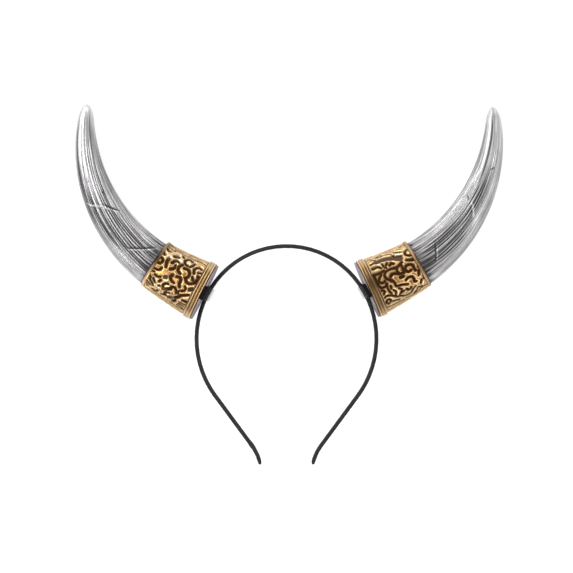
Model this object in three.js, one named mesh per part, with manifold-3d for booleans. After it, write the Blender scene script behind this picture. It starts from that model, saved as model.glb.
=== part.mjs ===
// A costume headband with two curved silver horns in scrolled gold collars.
//
// The headband is drawn as it is worn, seen from the front: X to the right, Y up to the horn tips and
// Z to the front. At the end it is laid on its back, as it rests by itself, with +Z up.

import * as THREE from 'three';
import { mergeVertices } from 'three/addons/utils/BufferGeometryUtils.js';
import Module from 'manifold-3d';

const wasm = await Module();
wasm.setup();

const rad = THREE.MathUtils.degToRad;

// Driving sizes, in millimetres and degrees

const GAP = 0.3;

const BAND = {
  thickness: 2.3,
  width: 6,
  edge: 0.7,
  crownRadius: 57.8,
  crownTurn: 57.4,
  sideRadius: 62.6,
  sideTurn: 69,
  legLength: 39.8,
  flareRadius: 32,
  flareTurn: -25,
  endTaper: 4,
  endScale: 0.45,
  steps: 45,
};

const COLLAR = {
  length: 36.5,
  turn: 6,
  wideRadius: 18.7,
  narrowRadius: 15.6,
  flare: 1.3,
  boreWide: 16,
  boreNarrow: 13.6,
  sides: 24,
};

const RIM = { width: 4.8, groove: 19.5, ridge: 20.2, ridges: 3 };
const LIP = { width: 1.9, radius: 16.5 };

const HORN = {
  rootLength: 5.2,
  rootTurn: 6,
  length: 113.4,
  turn: 60,
  mouthRadius: 15.4,
  middleRadius: 10.9,
  tipRadius: 4,
  tipRound: 8.8,
  plugRadius: 13.2,
  plugDepth: 14,
  flutes: 10,
  fluteDepth: 0.35,
  rings: 17,
};

const SCROLL = { width: 2.3, height: 0.9, depth: 0.5, shrink: 0.74, tail: 0.35, tailShare: 0.15, step: 62 };
const CRACK = { width: 1.2, depth: 0.7, steps: 4 };

const PLATE = { radius: 19.4, thickness: 1.2, clearance: 0.5, sides: 28 };
const PAD = { length: 9.5, shoulder: 12, slope: 2, back: 0.8, edge: 0.7, reach: 0.8 };
const STRAP = { length: 8.5, thickness: 0.9 };

// Where each horn sits: angle round the crown, heading above the horizontal, and turn about the upright.
// Both horns are the same casting, so the right one shows the side that the left one hides.
const SEATS = [
  { side: 'left', angle: 27.4, heading: 26.7, turn: 0 },
  { side: 'right', angle: 29.2, heading: 24.1, turn: 180 },
];
const SEAT_RADIUS = BAND.crownRadius + BAND.thickness / 2 + PLATE.clearance + PLATE.thickness + GAP;

// Scrollwork of the two faces of a collar, charted on the unrolled sleeve. Each curl has its height above
// the rim, angle up from the middle of the face, radius, and the angle at which it opens and its sweep.
const CURLS = {
  first: [
    [9.2, 36, 3.3, 165, -330],
    [16.6, 48, 3.3, 170, -330],
    [14.9, 20, 3.4, 25, 330],
    [19, 20, 4, 75, -170],
    [24.4, 28, 3.1, 160, -320],
    [25, 10, 2.6, 190, 300],
    [31.4, 17, 2.7, 60, 330],
    [17.6, -4, 3.2, 0, 330],
    [21, -3, 3.9, 75, -180],
    [16.2, -26, 2.9, 30, 310],
    [21.8, -28, 3.2, 140, -320],
    [28.4, -25, 2.8, 215, -290],
    [8.8, 10, 3.2, -80, 320],
    [8.4, -8, 2.7, 110, -280],
    [9.4, -25, 3, 80, 320],
    [9, -46, 3.2, 130, -330],
    [15, -46, 2.8, 40, 300],
    [21, -51, 3.2, 150, -330],
    [27.6, -47, 3.1, -30, 310],
    [31.4, 52, 2.8, 200, -310],
    [24.6, 62, 2.9, 20, 320],
    [9.2, 64, 3.2, 120, -320],
    [17, 74, 3.2, 40, 310],
    [12, -72, 3.2, 60, 320],
    [21, -76, 3.1, 140, -320],
    [29.4, -72, 3, 30, 310],
  ],
  second: [
    [31.6, 38, 2.7, 60, 330],
    [28.2, 6, 3.2, -100, -330],
    [22.8, 10, 2.3, 0, 290],
    [17.4, 7, 3.8, 190, -190],
    [10.2, 5, 3.2, 150, -330],
    [13.4, -15, 2.7, 100, 330],
    [8.2, -42, 2.7, 90, 330],
    [16.8, 33, 2.7, 20, 330],
    [18.6, -9, 2.8, 250, 290],
    [25, -14, 2.6, 200, -280],
    [28.2, -29, 3, 120, -310],
    [20.2, -27, 3, 30, -310],
    [22.6, -46, 3.2, -10, 320],
    [15, -52, 3, 160, -320],
    [30.2, -48, 2.9, 100, 310],
    [9.4, 66, 3.1, 120, -320],
    [19.4, 72, 3.1, 150, -320],
    [30.4, 62, 3, 20, 320],
    [9.2, -66, 3.1, 60, 320],
    [20, -70, 3.1, 140, -320],
  ],
};

// Straight leaves between the curls: height, angle, heading on the unrolled sleeve, and length.
const LEAVES = {
  first: [
    [20.5, 41, -18, 7.5],
  ],
  second: [
    [6.8, 30, -6, 6.4],
    [6.8, 45, -14, 7],
    [19.6, 29, -14, 8],
    [20, 0, -16, 13],
  ],
};

// Cracks across the grooves of the horn: from and to, each as a distance from the rim and an angle.
const CRACKS = {
  first: [
    [43, 37, 57.5, -17],
    [79, 35, 93.5, -55],
  ],
  second: [
    [55.5, 16, 47.5, -23],
    [88.5, 0, 84, -24],
    [116, -28, 117.5, -48],
  ],
};

const FACES = [
  { name: 'first', place: (angle) => angle },
  { name: 'second', place: (angle) => Math.PI - angle },
];

// Lines made of arcs

// A line of stretches, each with a length and a turn. It leaves the origin at a given turn from +Y,
// and turns towards +X. Gives the point and the turn at a distance; past its ends the line runs straight.
function arcLine(stretches, startTurn = 0) {
  return (distance) => {
    const at = { x: 0, y: 0, turn: rad(startTurn) };
    let left = distance;
    stretches.forEach(({ length, turn }, index) => {
      const last = index === stretches.length - 1;
      const run = Math.min(left, length);
      const bend = Math.max(run, 0) * rad(turn) / length;
      const before = at.turn;
      at.turn += bend;
      if (Math.abs(bend) < 1e-9) {
        at.x += run * Math.sin(before);
        at.y += run * Math.cos(before);
      } else {
        at.x += run / bend * (Math.cos(before) - Math.cos(at.turn));
        at.y += run / bend * (Math.sin(at.turn) - Math.sin(before));
      }
      left -= run;
      if (last) {
        at.x += left * Math.sin(at.turn);
        at.y += left * Math.cos(at.turn);
      }
    });
    return at;
  };
}

const HORN_END = COLLAR.length + HORN.rootLength + HORN.length;
const hornLine = arcLine([
  { length: COLLAR.length, turn: COLLAR.turn },
  { length: HORN.rootLength, turn: HORN.rootTurn },
  { length: HORN.length, turn: HORN.turn },
]);

const bandStretches = [
  { length: BAND.crownRadius * rad(BAND.crownTurn), turn: BAND.crownTurn },
  { length: BAND.sideRadius * rad(BAND.sideTurn), turn: BAND.sideTurn },
  { length: BAND.legLength, turn: 0 },
  { length: BAND.flareRadius * rad(Math.abs(BAND.flareTurn)), turn: BAND.flareTurn },
];
const BAND_HALF = bandStretches.reduce((sum, stretch) => sum + stretch.length, 0);
const halfBandLine = arcLine(bandStretches, 90);

// Moves every vertex of a geometry by a function of its position.
function reshape(geometry, move) {
  const position = geometry.getAttribute('position');
  const point = new THREE.Vector3();
  for (let i = 0; i < position.count; i += 1) {
    move(point.fromBufferAttribute(position, i));
    position.setXYZ(i, point.x, point.y, point.z);
  }
  return geometry;
}

// Bends a form that stands along +Y so that its axis follows the horn's line.
function bendAlongHorn(geometry) {
  return reshape(geometry, (point) => {
    const at = hornLine(point.y);
    point.set(at.x + point.x * Math.cos(at.turn), at.y - point.x * Math.sin(at.turn), point.z);
  });
}

// Solids

function toSolid(geometry) {
  const bare = geometry.clone();
  bare.deleteAttribute('normal');
  bare.deleteAttribute('uv');
  const merged = mergeVertices(bare, 1e-4);
  const corners = Array.from(merged.index.array);
  const triangles = [];
  for (let i = 0; i < corners.length; i += 3) {
    const [a, b, c] = corners.slice(i, i + 3);
    if (a !== b && b !== c && c !== a) triangles.push(a, b, c);
  }
  return new wasm.Manifold(new wasm.Mesh({
    numProp: 3,
    vertProperties: Float32Array.from(merged.getAttribute('position').array),
    triVerts: Uint32Array.from(triangles),
  }));
}

function toGeometry(solid) {
  const mesh = solid.getMesh();
  const geometry = new THREE.BufferGeometry();
  geometry.setAttribute('position', new THREE.BufferAttribute(Float32Array.from(mesh.vertProperties), 3));
  geometry.setIndex(Array.from(mesh.triVerts));
  geometry.computeVertexNormals();
  return geometry;
}

function lathe(profile, sides) {
  return new THREE.LatheGeometry(profile.map(([radius, height]) => new THREE.Vector2(radius, height)), sides);
}

function polygon(points) {
  return new THREE.Shape(points.map(([x, y]) => new THREE.Vector2(x, y)));
}

function piece(name, geometry, material) {
  const mesh = new THREE.Mesh(geometry, material);
  mesh.name = name;
  return mesh;
}

// Forms drawn on an unrolled surface: X runs round it, Y along its axis, Z up from it.

const UNROLL_RADIUS = 17;

function onUnrolled(face, height, angle) {
  return new THREE.Vector3(face.place(angle) * UNROLL_RADIUS, height, 0);
}

function wrap(geometry, radiusAt) {
  return reshape(geometry, (point) => {
    const angle = point.x / UNROLL_RADIUS;
    const radius = radiusAt(point.y) + point.z;
    point.set(radius * Math.sin(angle), point.y, radius * Math.cos(angle));
  });
}

// A spiral that opens with a short tail and closes towards its eye.
class CurlCurve extends THREE.Curve {
  constructor(face, [height, angle, radius, open, sweep]) {
    super();
    Object.assign(this, { face, height, angle, radius, open, sweep });
  }

  getPoint(t) {
    const tail = Math.max(1 - t / SCROLL.tailShare, 0);
    const reach = this.radius * (1 - SCROLL.shrink * t + SCROLL.tail * tail * tail);
    const direction = rad(this.open + this.sweep * t);
    const height = this.height + reach * Math.cos(direction);
    const angle = rad(this.angle) + reach * Math.sin(direction) / UNROLL_RADIUS;
    return onUnrolled(this.face, height, angle);
  }
}

function leafCurve(face, [height, angle, heading, length]) {
  const endHeight = height + length * Math.cos(rad(heading));
  const endAngle = rad(angle) + length * Math.sin(rad(heading)) / UNROLL_RADIUS;
  return new THREE.LineCurve3(onUnrolled(face, height, rad(angle)), onUnrolled(face, endHeight, endAngle));
}

// The section's own X points down into the surface on these flat curves.
const scrollSection = polygon([
  [-SCROLL.height, 0],
  [SCROLL.depth, -SCROLL.width / 2],
  [SCROLL.depth, SCROLL.width / 2],
]);
const crackSection = polygon([
  [CRACK.depth, 0],
  [-CRACK.depth, CRACK.width],
  [-CRACK.depth, -CRACK.width],
]);

function stroke(curve, section, steps) {
  return new THREE.ExtrudeGeometry(section, { steps, extrudePath: curve, bevelEnabled: false });
}

// Materials

const ribbon = new THREE.MeshStandardMaterial({ color: 0x2e2c2d, roughness: 0.75, metalness: 0 });
const silver = new THREE.MeshStandardMaterial({ color: 0xb4b4b6, roughness: 0.4, metalness: 0.7 });
const gold = new THREE.MeshStandardMaterial({ color: 0xb08d57, roughness: 0.45, metalness: 0.7 });
const grey = new THREE.MeshStandardMaterial({ color: 0x8e878b, roughness: 0.6, metalness: 0 });
const black = new THREE.MeshStandardMaterial({ color: 0x121111, roughness: 0.9, metalness: 0 });
const clear = new THREE.MeshStandardMaterial({ color: 0xe4e4e6, roughness: 0.25, metalness: 0 });

// Headband: a straight strip with bevelled edges and narrowed ends, bent to its line.
function makeHeadband() {
  const across = BAND.thickness / 2;
  const deep = BAND.width / 2;
  const section = polygon([
    [across, BAND.edge - deep],
    [across, deep - BAND.edge],
    [across - BAND.edge, deep],
    [BAND.edge - across, deep],
    [-across, deep - BAND.edge],
    [-across, BAND.edge - deep],
    [BAND.edge - across, -deep],
    [across - BAND.edge, -deep],
  ]);
  const strip = new THREE.ExtrudeGeometry(section, {
    depth: 2 * BAND_HALF,
    steps: BAND.steps,
    bevelEnabled: false,
  });
  const geometry = reshape(strip, (point) => {
    const distance = point.z - BAND_HALF;
    const fromEnd = BAND_HALF - Math.abs(distance);
    const share = THREE.MathUtils.clamp(fromEnd / BAND.endTaper, 0, 1);
    const scale = BAND.endScale + (1 - BAND.endScale) * Math.sqrt(share);
    const at = halfBandLine(Math.abs(distance));
    const outward = point.x * scale;
    const x = at.x - outward * Math.cos(at.turn);
    const y = at.y + outward * Math.sin(at.turn);
    point.set(distance < 0 ? -x : x, y + BAND.crownRadius, point.y * scale);
  });
  return piece('headband', geometry, ribbon);
}

// Horn

// Radius from the mouth to the tip: a curve through three radii, closed by a round tip.
function hornRadius(distance) {
  const start = COLLAR.length;
  const share = THREE.MathUtils.clamp((distance - start) / (HORN_END - start), 0, 1);
  const body = HORN.mouthRadius * (1 - share) * (1 - 2 * share)
    + 4 * HORN.middleRadius * share * (1 - share)
    + HORN.tipRadius * share * (2 * share - 1);
  const toTip = Math.min((HORN_END - distance) / HORN.tipRound, 1);
  return body * Math.sqrt(Math.max(1 - (1 - toTip) ** 2, 0));
}

function makeHorn(side) {
  const shoulder = COLLAR.length + GAP;
  const plugStart = COLLAR.length - HORN.plugDepth;
  const profile = [[0, plugStart], [HORN.plugRadius, plugStart], [HORN.plugRadius, shoulder]];
  for (let ring = 0; ring <= HORN.rings; ring += 1) {
    const share = Math.sin(ring / HORN.rings * Math.PI / 2);
    const distance = shoulder + (HORN_END - shoulder) * share;
    profile.push([ring < HORN.rings ? hornRadius(distance) : 0, distance]);
  }
  const body = reshape(lathe(profile, 2 * HORN.flutes), (point) => {
    if (point.y < shoulder + GAP) return;
    const angle = Math.atan2(point.x, point.z);
    const fade = Math.min(hornRadius(point.y) / HORN.middleRadius, 1);
    const radius = Math.hypot(point.x, point.z);
    const groove = HORN.fluteDepth * fade * (1 - Math.cos(HORN.flutes * angle)) / 2;
    const scale = radius > groove ? (radius - groove) / radius : 1;
    point.set(point.x * scale, point.y, point.z * scale);
  });
  let solid = toSolid(body);
  for (const face of FACES) {
    for (const [fromHeight, fromAngle, toHeight, toAngle] of CRACKS[face.name]) {
      const from = onUnrolled(face, fromHeight, rad(fromAngle));
      const to = onUnrolled(face, toHeight, rad(toAngle));
      const cut = stroke(new THREE.LineCurve3(from, to), crackSection, CRACK.steps);
      solid = solid.subtract(toSolid(wrap(cut, hornRadius)));
    }
  }
  return piece(`horn_${side}`, bendAlongHorn(toGeometry(solid)), silver);
}

// Collar

function collarRadius(height) {
  const share = THREE.MathUtils.clamp(1 - height / COLLAR.length, 0, 1);
  return COLLAR.narrowRadius + (COLLAR.wideRadius - COLLAR.narrowRadius) * share ** COLLAR.flare;
}

function collarProfile() {
  const top = COLLAR.length;
  const pitch = RIM.width / RIM.ridges;
  const profile = [[COLLAR.boreWide, 0], [RIM.groove, 0]];
  for (let ridge = 0; ridge < RIM.ridges; ridge += 1) {
    profile.push([RIM.ridge, pitch * (ridge + 0.5)], [RIM.groove, pitch * (ridge + 1)]);
  }
  profile.push([collarRadius(RIM.width), RIM.width + GAP]);
  profile.push([collarRadius(top / 3), top / 3]);
  profile.push([collarRadius(top * 2 / 3), top * 2 / 3]);
  profile.push([collarRadius(top), top - LIP.width - GAP]);
  profile.push([LIP.radius, top - LIP.width + GAP], [LIP.radius, top - GAP], [LIP.radius - GAP, top]);
  profile.push([COLLAR.boreNarrow, top], [COLLAR.boreWide, 0]);
  return profile;
}

function makeCollar(side) {
  const body = toSolid(lathe(collarProfile(), COLLAR.sides));
  const scrolls = [];
  for (const face of FACES) {
    for (const row of CURLS[face.name]) {
      const curl = new CurlCurve(face, row);
      scrolls.push(stroke(curl, scrollSection, Math.round(Math.abs(curl.sweep) / SCROLL.step)));
    }
    for (const row of LEAVES[face.name]) {
      scrolls.push(stroke(leafCurve(face, row), scrollSection, 2));
    }
  }
  const solid = scrolls.reduce((sum, scroll) => sum.add(toSolid(wrap(scroll, collarRadius))), body);
  return piece(`collar_${side}`, bendAlongHorn(toGeometry(solid)), gold);
}

// Base plate, pads and strap stand behind the rim. The plate is square to the collar, and the pads and
// the strap are square to the band.

const PLATE_BACK = -GAP - PLATE.thickness;
const BAND_OUTSIDE = BAND.crownRadius + BAND.thickness / 2 - SEAT_RADIUS;

function makePlate(side) {
  const profile = [[0, PLATE_BACK], [PLATE.radius, PLATE_BACK], [PLATE.radius, -GAP], [0, -GAP]];
  return piece(`base_plate_${side}`, lathe(profile, PLATE.sides), grey);
}

// Extrudes a section drawn in depth and axis along the band, centred on the axis.
function alongBand(section, length) {
  const form = new THREE.ExtrudeGeometry(polygon(section), { depth: length, bevelEnabled: false });
  return reshape(form, (point) => point.set(point.z - length / 2, point.y, -point.x));
}

// A pad lies on the plate beside the band and turns over the edge of the plate. It keeps clear of the
// plate by the slack that the slope between the plate and the band takes.
function makePad(side, place, toFront, slack) {
  const near = BAND.width / 2 + GAP;
  const far = PLATE.radius + GAP + PAD.edge;
  const top = -GAP - slack;
  const seat = PLATE_BACK - GAP - slack;
  const inside = BAND_OUTSIDE - BAND.thickness * PAD.reach;
  const section = [
    [near, seat],
    [near, inside],
    [PAD.shoulder, inside],
    [PAD.shoulder + PAD.slope, seat - PAD.back],
    [far, seat - PAD.back],
    [far, top],
    [far - PAD.edge, top],
    [far - PAD.edge, seat],
  ];
  const placed = section.map(([depth, axis]) => [toFront * -depth, axis]);
  return piece(`pad_${place}_${side}`, alongBand(placed, PAD.length), black);
}

// The strap goes round the inside of the band and the raised part of both pads.
function makeStrap(side, slack) {
  const clearance = 2 * GAP;
  const reach = PAD.shoulder + PAD.slope + GAP;
  const foot = PLATE_BACK - GAP - slack - PAD.back - GAP;
  const under = BAND_OUTSIDE - BAND.thickness - clearance;
  const section = [
    [-reach - STRAP.thickness, foot],
    [-reach - STRAP.thickness, under - STRAP.thickness],
    [reach + STRAP.thickness, under - STRAP.thickness],
    [reach + STRAP.thickness, foot],
    [reach, foot],
    [reach, under],
    [-reach, under],
    [-reach, foot],
  ];
  return piece(`clear_strap_${side}`, alongBand(section, STRAP.length), clear);
}

// One horn with its fittings, standing on the band.
function makeSide({ side, angle, heading, turn }) {
  const lean = rad(heading - angle);
  const slack = PAD.length / 2 * Math.tan(Math.abs(lean));
  const [near, far] = turn === 0 ? ['front', 'back'] : ['back', 'front'];
  const fixings = new THREE.Group();
  fixings.add(makeStrap(side, slack), makePad(side, near, 1, slack), makePad(side, far, -1, slack));
  fixings.rotation.z = lean;
  const mount = new THREE.Group();
  mount.add(makeHorn(side), makeCollar(side), makePlate(side), fixings);
  mount.position.set(-SEAT_RADIUS * Math.cos(rad(angle)), SEAT_RADIUS * Math.sin(rad(angle)), 0);
  mount.rotation.z = rad(90 - heading);
  const turned = new THREE.Group();
  turned.rotation.y = rad(turn);
  turned.add(mount);
  return turned;
}

// Lying on its back, the headband rests on the rims of the collars and the backs of the horns.
function restTilt() {
  const { angle, heading } = SEATS[0];
  const axis = rad(heading);
  const foot = SEAT_RADIUS * Math.sin(rad(angle));
  const lowest = (up, radius, lean, tilt) =>
    up * Math.sin(tilt) + radius * Math.hypot(Math.cos(tilt), Math.cos(lean) * Math.sin(tilt));
  const hornIsLower = (tilt) => {
    const rim = lowest(foot, RIM.ridge, axis, tilt);
    for (let distance = COLLAR.length; distance < HORN_END; distance += 1) {
      const at = hornLine(distance);
      const up = foot + at.y * Math.sin(axis) + at.x * Math.cos(axis);
      if (lowest(up, hornRadius(distance), axis + at.turn, tilt) > rim) return true;
    }
    return false;
  };
  const smallStep = rad(0.01);
  let tilt = 0;
  while (!hornIsLower(tilt)) tilt += smallStep;
  return tilt;
}

const headband = new THREE.Group();
headband.name = 'horn_headband';
headband.add(makeHeadband(), ...SEATS.map(makeSide));
headband.rotation.x = -restTilt();
headband.updateMatrixWorld(true);

const bounds = new THREE.Box3().setFromObject(headband, true);
const middle = bounds.getCenter(new THREE.Vector3());
headband.position.set(-middle.x, -middle.y, -bounds.min.z);
headband.updateMatrixWorld(true);

export default headband;
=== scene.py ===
"""Looks of the horn headband, laid out as an add-on and run as a script.

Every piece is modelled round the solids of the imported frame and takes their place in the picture. Sizes are
in millimetres and degrees until a piece is placed. Properties, materials and the stage are in metres.
"""

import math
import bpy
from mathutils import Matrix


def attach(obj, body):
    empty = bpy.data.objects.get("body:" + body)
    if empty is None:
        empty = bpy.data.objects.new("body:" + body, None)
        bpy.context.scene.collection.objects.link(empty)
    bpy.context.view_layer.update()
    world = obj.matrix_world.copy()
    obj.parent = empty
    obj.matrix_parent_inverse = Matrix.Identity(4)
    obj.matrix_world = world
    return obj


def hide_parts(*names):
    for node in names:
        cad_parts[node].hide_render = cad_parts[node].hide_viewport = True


bl_info = {
    "name": "Horn headband",
    "version": (1, 0, 0),
    "blender": (4, 5, 0),
    "location": "View3D > Sidebar > Headband",
    "description": "A ribbon-wound headband with two silver horns in antique gold collars",
    "category": "Add Mesh",
}

import bmesh
import bpy
import numpy as np
from bpy.props import FloatProperty, FloatVectorProperty, IntProperty, PointerProperty
from mathutils import Matrix, Vector

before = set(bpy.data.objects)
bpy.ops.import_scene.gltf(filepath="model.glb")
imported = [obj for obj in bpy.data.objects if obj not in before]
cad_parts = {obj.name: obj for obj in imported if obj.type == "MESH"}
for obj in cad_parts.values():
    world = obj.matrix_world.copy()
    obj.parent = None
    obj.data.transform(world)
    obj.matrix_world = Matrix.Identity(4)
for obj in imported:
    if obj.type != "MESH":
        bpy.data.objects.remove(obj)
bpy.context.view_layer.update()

# Sizes of the solids, in millimetres and degrees

MM = 0.001
GAP = 0.3

BAND_THICKNESS = 2.3
BAND_WIDTH = 6.0
CROWN_RADIUS = 57.8
CROWN_TURN = 57.4
SIDE_RADIUS = 62.6
SIDE_TURN = 69.0
LEG_LENGTH = 39.8
FLARE_RADIUS = 32.0
FLARE_TURN = 25.0

COLLAR_LENGTH = 36.5
COLLAR_TURN = 6.0
COLLAR_WIDE = 18.7
COLLAR_NARROW = 15.6
COLLAR_FLARE = 1.3
BORE_WIDE = 16.0
BORE_NARROW = 13.6
RIM_WIDTH = 4.8
RIM_RIDGE = 20.2
LIP_WIDTH = 1.9
LIP_RADIUS = 16.5

ROOT_LENGTH = 5.2
ROOT_TURN = 6.0
HORN_LENGTH = 113.4
HORN_TURN = 60.0
MOUTH_RADIUS = 15.4
MIDDLE_RADIUS = 10.9
TIP_RADIUS = 4.0
TIP_ROUND = 8.8
PLUG_RADIUS = 13.2
PLUG_DEPTH = 14.0
FLUTES = 10
FLUTE_DEPTH = 0.35

PLATE_RADIUS = 19.4
PLATE_THICKNESS = 1.2
PLATE_CLEARANCE = 0.5
PAD_LENGTH = 9.5
PAD_SHOULDER = 12.0
PAD_SLOPE = 2.0
PAD_BACK = 0.8
PAD_EDGE = 0.7
PAD_REACH = 0.8
STRAP_LENGTH = 8.5
STRAP_THICKNESS = 0.9

HORN_END = COLLAR_LENGTH + ROOT_LENGTH + HORN_LENGTH
HORN_STRETCHES = (
    (COLLAR_LENGTH, COLLAR_TURN),
    (ROOT_LENGTH, ROOT_TURN),
    (HORN_LENGTH, HORN_TURN),
)
BAND_STRETCHES = (
    (CROWN_RADIUS * math.radians(CROWN_TURN), CROWN_TURN),
    (SIDE_RADIUS * math.radians(SIDE_TURN), SIDE_TURN),
    (LEG_LENGTH, 0.0),
    (FLARE_RADIUS * math.radians(FLARE_TURN), -FLARE_TURN),
)
BAND_HALF = sum(length for length, turn in BAND_STRETCHES)
SEAT_RADIUS = CROWN_RADIUS + BAND_THICKNESS / 2 + PLATE_CLEARANCE + PLATE_THICKNESS + GAP

# Each side: angle round the crown, heading above the horizontal, and turn of the casting about the upright
SEATS = {
    "left": (27.4, 26.7, 0.0),
    "right": (29.2, 24.1, 180.0),
}

# Charts, drawn as strokes and soft blots

# Radius at which angles round the collar are turned into lengths
UNROLL_RADIUS = 17.0

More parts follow.
